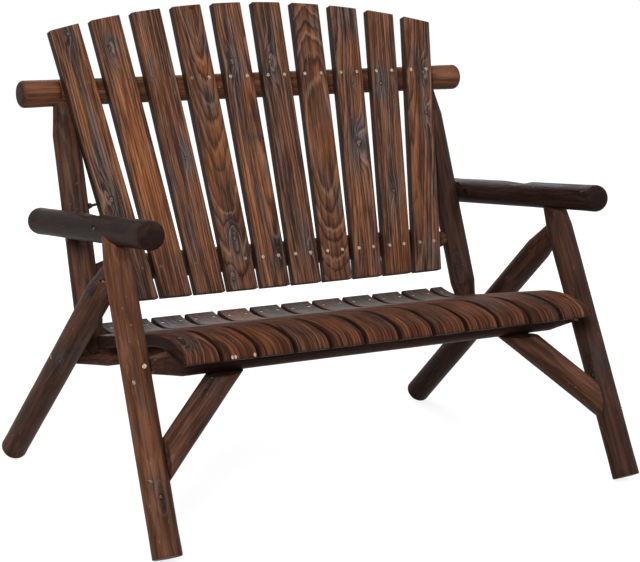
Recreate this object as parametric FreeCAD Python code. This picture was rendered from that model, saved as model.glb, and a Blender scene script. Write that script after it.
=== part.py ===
import FreeCAD, Part
import math
import os

os.makedirs("parts", exist_ok=True)

# A two-seat rustic garden bench made of round logs and flat slats, in millimetres.
# x runs to the right as seen from the front, y to the rear and z up. The origin is on the floor,
# in the middle between the outermost points of the feet.

# Logs and joints
log_radius = 29.0
armrest_radius = 28.5
end_softening = 2.0          # rounding of a square-cut log end
fit_gap = 0.1                # clearance between pieces that are cut to fit each other
foot_wear = 1.2              # how much of a foot's lowest edge is worn flat by the ground
cut_overrun = 60.0           # how far a cutting block runs past what it cuts

# Seat and back boards
slat_width = 70.0
slat_gap = 9.07              # between neighbours on the seat, and at the back slats' lower ends
back_slat_count = 10
seat_slat_count = 12

# Front legs: each leans back from the foot up to the armrest, and slightly inwards
leg_gap = 10.1               # from the post's foot out to the front leg's foot, seen from the front
front_foot_y = -415.4
front_leg_lean = 25.06       # degrees from upright, in the y-z plane
front_leg_splay = 1.55       # degrees from upright, in the x-z plane
front_leg_taper = 45.0       # length of the narrowed top
front_leg_tip_radius = 21.0

# Rear legs: from the foot forwards and up to the back of the front leg
rear_foot_inset = 1.7        # how much nearer the middle it stands than the front foot
rear_foot_y = 441.8
rear_leg_joint_drop = 59.0   # from the armrest's height down to the top of the rear leg
rear_leg_outset = 3.8        # how far the rear leg's axis passes outside the front leg's axis
rear_leg_taper = 74.0
rear_leg_tip_radius = 17.0

# Seat rails, both on the axes of the legs that carry them
front_rail_height = 341.5
rear_rail_height = 288.5
seat_rail_taper = 68.0       # length of the cone at each end
seat_rail_tip_radius = 16.5
seat_rail_tip_inset = 2.0    # how far the cone's end runs into the leg's cope

# Back frame, a plane that leans back: posts and rails share its middle plane
back_lean = 19.3             # degrees from upright
post_forward = 9.4           # the posts' plane passes this far in front of the rear rail's axis
post_lean_in = 15.4          # how much nearer the middle a post stands at its top
post_top_taper = 62.0
post_top_tip_radius = 16.5
post_foot_taper = 42.0
post_foot_tip_radius = 17.0
slat_foot_rise = 99.9        # from the rear rail's level up to the back slats' lower ends
lower_rail_rise = 76.6       # from the slats' lower ends up to the lower back rail
top_rail_rise = 464.0
top_rail_overhang = 93.5      # past the post's axis
top_rail_end_rounding = 11.0
lower_rail_taper = 46.0
lower_rail_tip_radius = 14.5
back_rail_planing = 8.0      # depth planed off the back rails where the slats lie
slat_bed_margin = 3.0        # how far the planed flat runs past the outermost slats

# Back slats, fanned out from the middle
back_slat_thickness = 18.0
back_slat_fan = 1.8          # degrees between neighbours
back_crown_reach = 181.4     # from the top rail's axis up to the top of the middle
back_crown_radius = 2039.0   # the tops follow this arc
slat_corner_radius = 3.5
slat_edge_radius = 1.6

# Seat slats: each is a bent strip. It runs from a crest over the front rail straight down to a
# hollow over the rear rail, and curls up behind.
seat_slat_thickness = 24.0
seat_planing = 1.0           # depth planed off the front rail under the slats
rear_seat_planing = 7.7      # depth cut out of the rear rail under the slats
seat_flatness_share = 0.3087     # a larger share makes both bends tighter and the rest straighter
crest_bend_share = 0.5853    # the crest's radius, as a share of both bends' radii added up
hollow_forward = 12.4        # how far in front of the rear rail's axis the seat is lowest
rear_curl_radius = 231.0
rear_curl_climb = 15.0       # degrees that the rear end points up
crest_front_radius = 326.0
crest_front_turn = 14.0
nose_radius = 36.0
nose_turn = 61.0
seat_edge_radius = 3.0
post_notch_clearance = 10.0      # beside and in front of the post's foot, in the outermost slats

# Armrests: from the front leg's top back to the outer side of the post
armrest_height = 586.5       # axis height above the front leg
armrest_inset = 5.7
armrest_fall = 4.68          # degrees down towards the rear
armrest_front_reach = 184.0     # from over the leg to the front end
armrest_rear_reach = 82.0       # from beside the post to the rear end
armrest_end_rounding = 19.0
armrest_lap = 1.0            # depth of the flat on the armrest and on the post where they meet
armrest_lap_length = 44.0       # of the flat, along both
dip_depth = 7.0              # shallow notch across the top of the armrest
dip_front = 62.0             # from over the leg back to the notch's front edge
dip_bottom = 104.0
dip_rear = 184.0

# Braces: cut flat at both ends, from the front leg's inner side up to the front rail's underside
brace_foot_height = 148.5
brace_reach = 212.8          # from the rail's end inwards to the brace's top
brace_seat_depth = 1.0       # depth of the flats on the leg and the rail where a brace's ends lie

# Slat screws, countersunk
slat_screw_length = 45.0
slat_screw_radius = 2.0
slat_screw_head_radius = 4.0
slat_screw_head_depth = 2.6
screw_tip_length = 6.0
screw_recess = 0.6           # how far a head lies below the wood
upper_screw_rise = 12.0      # above the top rail's axis
upper_screw_spacing = 42.0
lower_screw_drop = 8.6       # below the lower back rail's axis
lower_screw_spacing = 38.0
seat_screw_spacing = 42.0
rear_seat_screw_offset = 20.0    # behind the rear rail's axis
front_seat_screw_length = 76.0   # driven up through the front rail, so that no head shows
front_seat_screw_slant = 30.0    # degrees that they lean forwards

# Screws that hold the logs together
joint_screw_length = 88.0
short_screw_length = 50.0        # where the wood is thinner
joint_screw_radius = 2.5
joint_screw_head_radius = 4.6
joint_screw_head_depth = 3.0
driver_pocket_length = 12.0      # the way in above a sunk head
front_rail_screw_drop = 30.5     # below the rail's level, on the front leg
short_rail_screw_drop = 4.7      # the same for the shorter one beside it
short_rail_screw_run = 24.0      # how far along the rail that one aims
brace_screw_drop = 8.8           # below the brace's foot point, on the front leg
brace_screw_run = 97.6           # how far along the brace it aims
brace_top_screw_inset = 67.1     # from the brace's top down
brace_top_screw_run = 12.8       # how far along the rail it aims
leg_screw_drop = 27.9            # from the rear leg's top down
armrest_screw_setback = 39.0     # behind the front leg, on the armrest
top_screw_outset = 11.3          # outside the post's axis, on the top rail
top_screw_run = 79.0             # how far down the post it aims
post_screw_rise = 80.0           # up the post from its foot
post_screw_run = 73.0            # how far along the rear rail it aims

# The sides that the heads of these screws face, on the right-hand half
front_rail_screw_side = (0.64, -0.69, 0.34)
short_rail_screw_side = (-0.26, -0.88, 0.4)
brace_screw_side = (0.63, -0.7, 0.34)
brace_top_screw_side = (0, 0.5, -0.8)
leg_screw_side = (0.79, -0.41, -0.46)
rear_rail_screw_side = (0.8, 0.5, -0.3)
armrest_screw_side = (0.98, 0, 0.18)
top_screw_side = (0, 0.9, 0.44)
post_screw_side = (0.5, 0.8, 0.3)
lower_rail_screw_side = (0.5, 0.8, -0.3)

# Bolts: each is screwed blind into the armrest and passes through the post to a nut
bolt_rise = 8.0              # degrees that each bolt climbs inwards
bolt_lift = 17.0             # how far above the armrest's axis it starts
bolt_depth = 10.0            # how far past the armrest's middle its hidden end reaches
bolt_radius = 3.0
bolt_end_length = 11.0       # thread that stands out beyond the nut
bolt_end_bevel = 0.8
nut_across_flats = 10.0
nut_height = 5.0
washer_radius = 6.5
washer_thickness = 1.6
spot_face_depth = 1.0
spot_face_clearance = 1.0


def vector(x, y, z):
    return FreeCAD.Vector(x, y, z)


def along(start, end, distance):
    return start + (end - start).normalize() * distance


def toward(start, end, share):
    return start + (end - start) * share


def placed_along(shape, start, direction):
    """Turns a shape built up the z axis so that it runs from start along direction."""
    turn = FreeCAD.Rotation(vector(0, 0, 1), direction)
    moved = shape.copy()
    moved.Placement = FreeCAD.Placement(start, turn)
    return moved


def turned(outline):
    """Spins an outline of (radius, height) corners, from axis to axis, about the z axis."""
    corners = [vector(radius, 0, height) for radius, height in outline]
    face = Part.Face(Part.makePolygon(corners + corners[:1]))
    return face.revolve(vector(0, 0, 0), vector(0, 0, 1), 360)


def rod(start, end, radius):
    return placed_along(Part.makeCylinder(radius, (end - start).Length), start, end - start)


def log(start, end, radius, foot_taper=None, tip_taper=None, foot_round=0, tip_round=0):
    """A round log from start to end. A taper is a pair: length and radius at the end."""
    length = (end - start).Length
    foot_length, foot_radius = foot_taper or (0, radius)
    tip_length, tip_radius = tip_taper or (0, radius)
    edges = []
    here = vector(foot_radius - foot_round, 0, 0)
    edges.append(Part.makeLine(vector(0, 0, 0), here))
    if foot_round:
        rim = vector(foot_radius, 0, foot_round)
        edges.append(rounded_corner(here, rim, vector(foot_radius - foot_round, 0, foot_round)))
        here = rim
    if foot_taper:
        waist = vector(radius, 0, foot_length)
        edges.append(Part.makeLine(here, waist))
        here = waist
    shoulder = vector(radius, 0, length - tip_length - (0 if tip_taper else tip_round))
    edges.append(Part.makeLine(here, shoulder))
    here = shoulder
    if tip_taper:
        rim = vector(tip_radius, 0, length - tip_round)
        edges.append(Part.makeLine(here, rim))
        here = rim
    if tip_round:
        crown = vector(tip_radius - tip_round, 0, length)
        edges.append(rounded_corner(here, crown, vector(tip_radius - tip_round, 0, length - tip_round)))
        here = crown
    edges.append(Part.makeLine(here, vector(0, 0, length)))
    edges.append(Part.makeLine(vector(0, 0, length), vector(0, 0, 0)))
    face = Part.Face(Part.Wire(edges))
    solid = face.revolve(vector(0, 0, 0), vector(0, 0, 1), 360)
    return placed_along(solid, start, end - start)


def rounded_corner(start, end, centre):
    middle = (start + end) / 2 - centre
    radius = (start - centre).Length
    return Part.Arc(start, centre + middle.normalize() * radius, end).toShape()


def mirrored(shape):
    return shape.mirror(vector(0, 0, 0), vector(1, 0, 0))


def one_solid(shape):
    """The largest solid, without the crumbs that a cope can leave behind the other log."""
    return max(shape.Solids, key=lambda solid: solid.Volume)


def save(node, shape):
    shape.exportStep("parts/" + node + ".step")


# Widths from the middle outwards, on the right-hand side. A post's foot stands on the line of the
# seat's outer edge.
slat_pitch = slat_width + slat_gap
seat_half_width = slat_pitch * (seat_slat_count - 1) / 2 + slat_width / 2
post_foot_x = seat_half_width
post_top_x = post_foot_x - post_lean_in
top_rail_half_length = post_top_x + top_rail_overhang
front_foot_x = post_foot_x + 2 * log_radius + leg_gap
rear_foot_x = front_foot_x - rear_foot_inset


# Joint points on the right-hand side

def front_leg_axis(height):
    rise = math.tan(math.radians(front_leg_lean))
    splay = math.tan(math.radians(front_leg_splay))
    return vector(front_foot_x - splay * height, front_foot_y + rise * height, height)


rear_leg_joint_height = armrest_height - rear_leg_joint_drop
rear_leg_joint = front_leg_axis(rear_leg_joint_height) + vector(rear_leg_outset, 0, 0)
rear_leg_ground = vector(rear_foot_x, rear_foot_y, 0)


def rear_leg_axis(height):
    return toward(rear_leg_ground, rear_leg_joint, height / rear_leg_joint_height)


front_rail_end = front_leg_axis(front_rail_height)
rear_rail_end = rear_leg_axis(rear_rail_height)

back_up = vector(0, math.sin(math.radians(back_lean)), math.cos(math.radians(back_lean)))
back_depth = vector(0, math.cos(math.radians(back_lean)), -math.sin(math.radians(back_lean)))
rear_rail_level = vector(0, rear_rail_end.y - post_forward, rear_rail_height)
slat_foot_level = rear_rail_level + back_up * slat_foot_rise
rail_plane_depth = back_slat_thickness + log_radius - back_rail_planing
back_crown_rise = top_rail_rise + back_crown_reach


def back_point(x, rise, depth):
    """A point of the back: rise from the slats' lower ends, depth behind their front face."""
    middle = slat_foot_level + back_up * rise + back_depth * (depth - rail_plane_depth)
    return middle + vector(x, 0, 0)


post_foot = back_point(post_foot_x, -slat_foot_rise, rail_plane_depth)
post_top = back_point(post_top_x, top_rail_rise, rail_plane_depth)


def post_axis(rise):
    return toward(post_foot, post_top, (rise + slat_foot_rise) / (top_rail_rise + slat_foot_rise))


# The armrest's axis passes over the front leg and beside the post, and slopes down to the rear.
armrest_over_leg = front_leg_axis(armrest_height) - vector(armrest_inset, 0, 0)


def armrest_meets_post():
    """The post's axis point level with the sloping armrest."""
    fall = math.tan(math.radians(armrest_fall))
    climb = (post_top.z - post_foot.z) / (post_top.y - post_foot.y)
    gap = armrest_over_leg.z + fall * armrest_over_leg.y - (post_foot.z - climb * post_foot.y)
    level_y = gap / (climb + fall)
    return toward(post_foot, post_top, (level_y - post_foot.y) / (post_top.y - post_foot.y))


post_beside_armrest = armrest_meets_post()
lap_spacing = armrest_radius + log_radius - 2 * armrest_lap
armrest_beside_post = post_beside_armrest + vector(lap_spacing, 0, 0)
armrest_front = along(armrest_over_leg, armrest_beside_post, -armrest_front_reach)
armrest_rear = along(armrest_beside_post, armrest_over_leg, -armrest_rear_reach)

brace_foot = front_leg_axis(brace_foot_height)
brace_top = front_rail_end - vector(brace_reach, 0, 0)


# Fasteners

def wood_screw(length, radius, head_radius, head_depth):
    """A countersunk screw that points up the z axis, with its head's face at the origin."""
    outline = [
        (0, 0),
        (head_radius, 0),
        (radius, head_depth),
        (radius, length - screw_tip_length),
        (0, length),
    ]
    return turned(outline)


def screw_bore(length, radius, head_radius, head_depth):
    """The hole for such a screw, with the way in above its head."""
    hole = wood_screw(length + fit_gap, radius + fit_gap, head_radius + fit_gap, head_depth)
    pocket = Part.makeCylinder(head_radius + fit_gap, driver_pocket_length)
    return hole.fuse(pocket.translate(vector(0, 0, -driver_pocket_length)))


slat_screw_shape = (slat_screw_radius, slat_screw_head_radius, slat_screw_head_depth)
slat_screw_sizes = (slat_screw_length, *slat_screw_shape)
front_seat_screw_sizes = (front_seat_screw_length, *slat_screw_shape)
joint_screw_shape = (joint_screw_radius, joint_screw_head_radius, joint_screw_head_depth)
joint_screw_sizes = (joint_screw_length, *joint_screw_shape)
short_screw_sizes = (short_screw_length, *joint_screw_shape)


def screws_at(places, sizes):
    screw = wood_screw(*sizes)
    return [placed_along(screw, point, direction) for point, direction in places]


def bores_at(places, sizes):
    bore = screw_bore(*sizes)
    return [placed_along(bore, point, direction) for point, direction in places]


def mirrored_places(places):
    flipped = []
    for point, direction in places:
        other_point = vector(-point.x, point.y, point.z)
        other_direction = vector(-direction.x, direction.y, direction.z)
        flipped.append((other_point, other_direction))
    return flipped


def screw_in_log(place, log_end, radius, side, aim):
    """A screw in a log: beside a place on its axis, with its head facing side, driven to aim."""
    axis = (log_end - place).normalize()
    out = vector(*side)
    out = (out - axis * out.dot(axis)).normalize()
    sink = joint_screw_head_radius ** 2 / radius
    head = place + out * (radius - screw_recess - sink)
    return head, (aim - head).normalize()


front_leg_top = front_leg_axis(armrest_height)
front_rail_screw_places = [
    screw_in_log(front_leg_axis(front_rail_height - front_rail_screw_drop), front_leg_top, log_radius,
                 front_rail_screw_side, front_rail_end - vector(seat_rail_taper, 0, 0)),
]
short_rail_screw_places = [
    screw_in_log(front_leg_axis(front_rail_height - short_rail_screw_drop), front_leg_top, log_radius,
                 short_rail_screw_side, front_rail_end - vector(short_rail_screw_run, 0, 0)),
]
brace_screw_places = [
    screw_in_log(front_leg_axis(brace_foot_height - brace_screw_drop), front_leg_top, log_radius,
                 brace_screw_side, along(brace_foot, brace_top, brace_screw_run)),
    screw_in_log(along(brace_top, brace_foot, brace_top_screw_inset), brace_foot, log_radius,
                 brace_top_screw_side, brace_top + vector(brace_top_screw_run, 0, 0)),
]
leg_screw_inset = leg_screw_drop * (rear_leg_joint - rear_leg_ground).Length / rear_leg_joint_height
leg_thinning = (log_radius - rear_leg_tip_radius) / (rear_leg_taper + log_radius)
leg_screw_places = [
    screw_in_log(rear_leg_axis(rear_leg_joint_height - leg_screw_drop), rear_leg_ground,
                 rear_leg_tip_radius + leg_thinning * leg_screw_inset,
                 leg_screw_side, front_leg_axis(rear_leg_joint_height - log_radius)),
]
rear_rail_screw_places = [
    screw_in_log(rear_rail_end, rear_leg_joint, log_radius,
                 rear_rail_screw_side, rear_rail_end - vector(seat_rail_taper, 0, 0)),
]
armrest_screw_places = [
    screw_in_log(along(armrest_over_leg, armrest_beside_post, armrest_screw_setback), armrest_rear,
                 armrest_radius, armrest_screw_side, front_leg_axis(armrest_height - log_radius)),
]
post_screw_places = [
    screw_in_log(post_top + vector(top_screw_outset, 0, 0), vector(0, post_top.y, post_top.z),
                 log_radius, top_screw_side, along(post_top, post_foot, top_screw_run)),
    screw_in_log(along(post_foot, post_top, post_screw_rise), post_top, log_radius,
                 post_screw_side, rear_rail_end - vector(post_screw_run, 0, 0)),
]
lower_rail_screw_places = [
    screw_in_log(post_axis(lower_rail_rise), post_top, log_radius, lower_rail_screw_side,
                 back_point(post_foot_x - 2 * log_radius, lower_rail_rise, rail_plane_depth)),
]


def back_slat_angle(index):
    return (index - (back_slat_count - 1) / 2) * back_slat_fan


def back_slat_foot_x(index):
    return (index - (back_slat_count - 1) / 2) * slat_pitch


def back_slat_x(index, rise):
    return back_slat_foot_x(index) + rise * math.tan(math.radians(back_slat_angle(index)))


def back_screw_places(rise, spacing):
    places = []
    for index in range(back_slat_count):
        for side in (-1, 1):
            x = back_slat_x(index, rise) + side * spacing / 2
            places.append((back_point(x, rise, screw_recess), back_depth))
    return places


upper_screw_places = back_screw_places(top_rail_rise + upper_screw_rise, upper_screw_spacing)
lower_screw_places = back_screw_places(lower_rail_rise - lower_screw_drop, lower_screw_spacing)


# Pieces

def half_space(point, normal):
    """A large block that begins at a plane and lies on the side its normal points to."""
    size = 2 * top_rail_half_length
    corner = vector(-size / 2, -size / 2, 0)
    return placed_along(Part.makeBox(size, size, size, corner), point, normal)


def foot_height(direction):
    """Axis height of a square-cut foot whose lowest edge is worn flat on the floor."""
    upright = direction.z / direction.Length
    return log_radius * math.sqrt(1 - upright ** 2) - foot_wear


def armrest_outline(grow):
    return log(
        armrest_front,
        armrest_rear,
        armrest_radius + grow,
        foot_round=armrest_end_rounding,
        tip_round=armrest_end_rounding,
    )


def front_leg_outline(grow):
    direction = front_leg_axis(armrest_height) - front_leg_axis(0)
    foot = front_leg_axis(foot_height(direction))
    tip = front_leg_axis(armrest_height)
    taper_end = (front_leg_taper + armrest_radius, front_leg_tip_radius + grow)
    return log(foot, tip, log_radius + grow, tip_taper=taper_end, foot_round=end_softening)


def rear_leg_outline(grow):
    foot = rear_leg_axis(foot_height(rear_leg_joint - rear_leg_ground))
    taper_end = (rear_leg_taper + log_radius, rear_leg_tip_radius + grow)
    return log(foot, rear_leg_joint, log_radius + grow, tip_taper=taper_end, foot_round=end_softening)


def post_outline(grow):
    foot_end = (post_foot_taper + log_radius, post_foot_tip_radius + grow)
    top_end = (post_top_taper + log_radius, post_top_tip_radius + grow)
    return log(post_foot, post_top, log_radius + grow, foot_taper=foot_end, tip_taper=top_end)


def rail_between_legs(end, grow):
    """A seat rail: a round log with a cone at each end, up to the legs' inner sides."""
    half = end.x - log_radius + seat_rail_tip_inset
    cone = (seat_rail_taper, seat_rail_tip_radius + grow)
    left = vector(-half, end.y, end.z)
    right = vector(half, end.y, end.z)
    return log(left, right, log_radius + grow, foot_taper=cone, tip_taper=cone)


def top_rail_outline(grow):
    left = back_point(-top_rail_half_length, top_rail_rise, rail_plane_depth)
    right = back_point(top_rail_half_length, top_rail_rise, rail_plane_depth)
    ends = top_rail_end_rounding
    return log(left, right, log_radius + grow, foot_round=ends, tip_round=ends)


def brace_body():
    """The brace between its flat ends: one against the leg's inner side, one under the rail."""
    leg_axis = (front_leg_axis(armrest_height) - brace_foot).normalize()
    inward = vector(-1, 0, 0)
    inward = (inward - leg_axis * inward.dot(leg_axis)).normalize()
    seat_distance = log_radius - brace_seat_depth
    beyond_leg_face = half_space(brace_foot + inward * seat_distance, inward * -1)
    above_rail_face = half_space(brace_top - vector(0, 0, seat_distance), vector(0, 0, 1))
    return log(brace_foot, brace_top, log_radius).cut([beyond_leg_face, above_rail_face])


def armrest_lap_block(inner):
    """A block beside the lap plane: on its inner side, or on its outer side."""
    size = armrest_lap_length
    block = Part.makeBox(size, 2 * size, 2 * size, vector(0, -size, -size))
    plane_x = post_beside_armrest.x + log_radius - armrest_lap
    shift = plane_x + fit_gap / 2 - size if inner else plane_x - fit_gap / 2
    turn = FreeCAD.Rotation(vector(1, 0, 0), -back_lean)
    middle = vector(shift, post_beside_armrest.y, post_beside_armrest.z)
    block.Placement = FreeCAD.Placement(middle, turn)
    return block


def armrest_dip():
    """The wedge taken out of the armrest's top: long and gentle behind, short and steep in front."""
    down = vector(0, 0, -1)
    sideways = vector(2 * armrest_radius, 0, 0)
    corners = []
    for distance, depth in ((dip_front, 0), (dip_bottom, dip_depth), (dip_rear, 0)):
        middle = along(armrest_over_leg, armrest_beside_post, distance)
        corners.append(middle - down * armrest_radius + down * depth - sideways / 2)
    lid = corners[2] - down * armrest_radius, corners[0] - down * armrest_radius
    return Part.Face(Part.makePolygon([*corners, *lid, corners[0]])).extrude(sideways)


# The bolt's line: w is the distance inwards from above the armrest's axis
bolt_direction = vector(-math.cos(math.radians(bolt_rise)), 0, math.sin(math.radians(bolt_rise)))
bolt_nut_seat = lap_spacing + log_radius - spot_face_depth


def on_bolt(w):
    return armrest_beside_post + vector(0, 0, bolt_lift) + bolt_direction * w


def bolt_cutters():
    """The bore and the spot face that the washer lies on."""
    bore = rod(on_bolt(-bolt_depth), on_bolt(bolt_nut_seat), bolt_radius + fit_gap)
    face_end = on_bolt(bolt_nut_seat + driver_pocket_length)
    return [bore, rod(on_bolt(bolt_nut_seat), face_end, washer_radius + spot_face_clearance)]


def washer():
    start = on_bolt(bolt_nut_seat)
    end = on_bolt(bolt_nut_seat + washer_thickness)
    return rod(start, end, washer_radius).cut(rod(start, end, bolt_radius + fit_gap))


def bolt():
    """A headless bolt, bevelled at both ends."""
    length = bolt_depth + bolt_nut_seat + washer_thickness + nut_height + bolt_end_length
    outline = [
        (0, 0),
        (bolt_radius - bolt_end_bevel, 0),
        (bolt_radius, bolt_end_bevel),
        (bolt_radius, length - bolt_end_bevel),
        (bolt_radius - bolt_end_bevel, length),
        (0, length),
    ]
    return placed_along(turned(outline), on_bolt(-bolt_depth), bolt_direction)


def nut():
    start = on_bolt(bolt_nut_seat + washer_thickness)
    corner_radius = nut_across_flats / math.sqrt(3)
    corners = []
    for step in range(7):
        angle = math.radians(60 * step)
        corners.append(vector(corner_radius * math.cos(angle), corner_radius * math.sin(angle), 0))
    prism = Part.Face(Part.makePolygon(corners)).extrude(vector(0, 0, nut_height))
    bore = Part.makeCylinder(bolt_radius + fit_gap, nut_height)
    return placed_along(prism.cut(bore), start, bolt_direction)


def back_outline_block():
    """Everything between the line of the slats' feet and the arc of their tops."""
    half = top_rail_half_length + cut_overrun
    side_rise = back_crown_rise - (back_crown_radius - math.sqrt(back_crown_radius ** 2 - half ** 2))
    corners = [(-half, 0), (half, 0), (half, side_rise), (0, back_crown_rise), (-half, side_rise)]
    points = [back_point(x, rise, 0) for x, rise in corners]
    edges = [
        Part.makeLine(points[0], points[1]),
        Part.makeLine(points[1], points[2]),
        Part.Arc(points[2], points[3], points[4]).toShape(),
        Part.makeLine(points[4], points[0]),
    ]
    return Part.Face(Part.Wire(edges)).extrude(back_depth * back_slat_thickness)


def back_slat(index, outline_block):
    angle = math.radians(back_slat_angle(index))
    half_width = slat_width / math.cos(angle) / 2
    low = -cut_overrun
    high = back_crown_rise + cut_overrun
    corners = []
    for rise, side in ((low, -1), (low, 1), (high, 1), (high, -1)):
        corners.append(back_point(back_slat_x(index, rise) + side * half_width, rise, 0))
    board = Part.Face(Part.makePolygon(corners + corners[:1])).extrude(back_depth * back_slat_thickness)
    slat = one_solid(board.common(outline_block))
    corner_edges = [edge for edge in slat.Edges if runs_along(edge, back_depth)]
    slat = slat.makeFillet(slat_corner_radius, corner_edges)
    front_face = [face for face in slat.Faces if faces_along(face, back_depth)]
    rims = [edge for face in front_face for edge in face.Edges]
    return slat.makeFillet(slat_edge_radius, rims)


def is_straight(edge):
    return isinstance(edge.Curve, Part.Line)


def runs_along(edge, direction):
    if not is_straight(edge):
        return False
    return abs(abs(edge.Curve.Direction.dot(direction)) - 1) < 1e-6


def faces_along(face, direction):
    if not isinstance(face.Surface, Part.Plane):
        return False
    return abs(abs(face.Surface.Axis.dot(direction)) - 1) < 1e-6


def strip_line(start, heading, moves, offset):
    """Edges of a bent line in the y-z plane, at an offset under it.

    Each move is a radius and a turn in degrees, or a length and None for a straight stretch.
    The heading is in degrees from the rear, and a turn is positive where the line bends up.
    """
    edges = []
    here = start
    angle = math.radians(heading)
    for size, turn in moves:
        if turn is None:
            there = here + vector(0, math.cos(angle), math.sin(angle)) * size
            under = vector(0, math.sin(angle), -math.cos(angle)) * offset
            edges.append(Part.makeLine(here + under, there + under))
            here = there
            continue
        sign = math.copysign(1, turn)
        centre = here + vector(0, -math.sin(angle), math.cos(angle)) * (sign * size)
        bent = []
        for share in (0, 1 / 2, 1):
            now = angle + math.radians(turn) * share
            radial = vector(0, math.sin(now), -math.cos(now))
            bent.append(centre + radial * (sign * size + offset))
        edges.append(Part.Arc(*bent).toShape())
        angle += math.radians(turn)
        here = centre + vector(0, math.sin(angle), -math.cos(angle)) * (sign * size)
    return edges


def rail_top(end, planing):
    """The seat's upper surface straight over a rail that is cut to a depth for the slats."""
    return vector(0, end.y, end.z + log_radius - planing + seat_slat_thickness)


seat_crest = rail_top(front_rail_end, seat_planing)
seat_hollow = rail_top(rear_rail_end, rear_seat_planing) - vector(0, hollow_forward, 0)
rail_spacing = rear_rail_end.y - front_rail_end.y


def seat_bends():
    """Crest radius, straight length, its fall in degrees, and hollow radius.

    The straight line touches the crest's arc and the hollow's arc. It is longest where the seat
    falls least, and there is always some left.
    """
    run = seat_hollow.y - seat_crest.y
    drop = seat_crest.z - seat_hollow.z
    radii = (run ** 2 + drop ** 2) / (2 * drop + seat_flatness_share * run)
    straight = math.sqrt(run ** 2 + drop ** 2 - 2 * radii * drop)
    fall = math.atan2(radii, straight) - math.atan2(radii - drop, run)
    return radii * crest_bend_share, straight, math.degrees(fall), radii * (1 - crest_bend_share)


crest_radius, seat_straight, seat_fall, hollow_radius = seat_bends()
rearward_moves = [
    (crest_radius, -seat_fall),
    (seat_straight, None),
    (hollow_radius, seat_fall),
    (rear_curl_radius, rear_curl_climb),
]
forward_moves = [(crest_front_radius, crest_front_turn), (nose_radius, nose_turn)]


def seat_section():
    """The bent strip's section: from the crest back to the curl, and forward over the nose."""
    edges = strip_line(seat_crest, 0, rearward_moves, 0)
    edges += strip_line(seat_crest, 0, rearward_moves, seat_slat_thickness)
    turned_moves = [(size, -turn) for size, turn in forward_moves]
    for offset in (0, seat_slat_thickness):
        for edge in strip_line(vector(0, -seat_crest.y, seat_crest.z), 0, turned_moves, offset):
            edges.append(edge.mirror(vector(0, 0, 0), vector(0, 1, 0)))
    outline = Part.sortEdges(edges)
    ends = [(line[0].firstVertex().Point, line[-1].lastVertex().Point) for line in outline]
    rear_ends = sorted([point for pair in ends for point in pair], key=lambda point: point.y)
    edges.append(Part.makeLine(rear_ends[0], rear_ends[1]))
    edges.append(Part.makeLine(rear_ends[2], rear_ends[3]))
    return Part.Face(Part.Wire(Part.sortEdges(edges)[0]))


def seat_board(low_x, high_x):
    section = seat_section().translate(vector(low_x, 0, 0))
    return section.extrude(vector(high_x - low_x, 0, 0))


def seat_slat_x(index):
    return (index - (seat_slat_count - 1) / 2) * slat_pitch


def seat_slat():
    """One seat slat about x = 0, with its long edges rounded."""
    slat = seat_board(-slat_width / 2, slat_width / 2)
    side_faces = [face for face in slat.Faces if faces_along(face, vector(1, 0, 0))]
    rims = [edge for face in side_faces for edge in face.Edges]
    end_length = seat_slat_thickness + fit_gap
    long_rims = [edge for edge in rims if not (edge.Length < end_length and is_straight(edge))]
    return one_solid(slat.makeFillet(seat_edge_radius, long_rims))


def seat_surface_point(y):
    """The seat's top point at a given y, off the section itself."""
    probe = Part.makeLine(vector(0, y, 0), vector(0, y, 2 * seat_crest.z))
    hit = seat_section().common(probe)
    return max(hit.Vertexes, key=lambda vertex: vertex.Point.z).Point


def seat_screw_columns():
    """The x of each seat screw, two in each slat."""
    half = seat_screw_spacing / 2
    return [seat_slat_x(index) + side for index in range(seat_slat_count) for side in (-half, half)]


def rear_seat_screw_places():
    """Driven down from the seat, and left out where the posts' notches are."""
    down = vector(0, 0, -1)
    head = seat_surface_point(rear_rail_end.y + rear_seat_screw_offset) + down * screw_recess
    columns = [x for x in seat_screw_columns() if abs(x) < post_notch_x]
    return [(head + vector(x, 0, 0), down) for x in columns]


def front_seat_screw_places():
    """Driven up from the rear underside of the front rail, and left out in its cones."""
    slant = math.radians(front_seat_screw_slant)
    side = (0, math.sin(slant), -math.cos(slant))
    places = []
    for x in seat_screw_columns():
        if abs(x) > front_rail_end.x - log_radius - seat_rail_taper:
            continue
        middle = vector(x, front_rail_end.y, front_rail_end.z)
        places.append(screw_in_log(middle, front_rail_end, log_radius, side, middle))
    return places


def notched(slat, side):
    """An outermost seat slat with its rear outer corner cut away for the post."""
    corner = vector(post_notch_x, post_foot.y - post_foot_tip_radius - post_notch_clearance / 2, 0)
    block = Part.makeBox(rail_spacing, rail_spacing, 2 * seat_crest.z, corner)
    if side < 0:
        block = mirrored(block)
    return one_solid(slat.cut(block))


post_notch_x = post_foot_x - log_radius - post_notch_clearance
rear_screw_seat_places = rear_seat_screw_places()
front_screw_seat_places = front_seat_screw_places()


def make_back():
    outline_block = back_outline_block()
    bores = bores_at(upper_screw_places + lower_screw_places, slat_screw_sizes)
    for index in range(back_slat_count):
        slat = back_slat(index, outline_block)
        near = [bore for bore in bores if bore.BoundBox.intersect(slat.BoundBox)]
        save("back_slat_%02d" % (index + 1), one_solid(slat.cut(near)))
    save("back_slat_screws_upper", Part.makeCompound(screws_at(upper_screw_places, slat_screw_sizes)))
    save("back_slat_screws_lower", Part.makeCompound(screws_at(lower_screw_places, slat_screw_sizes)))


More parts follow.
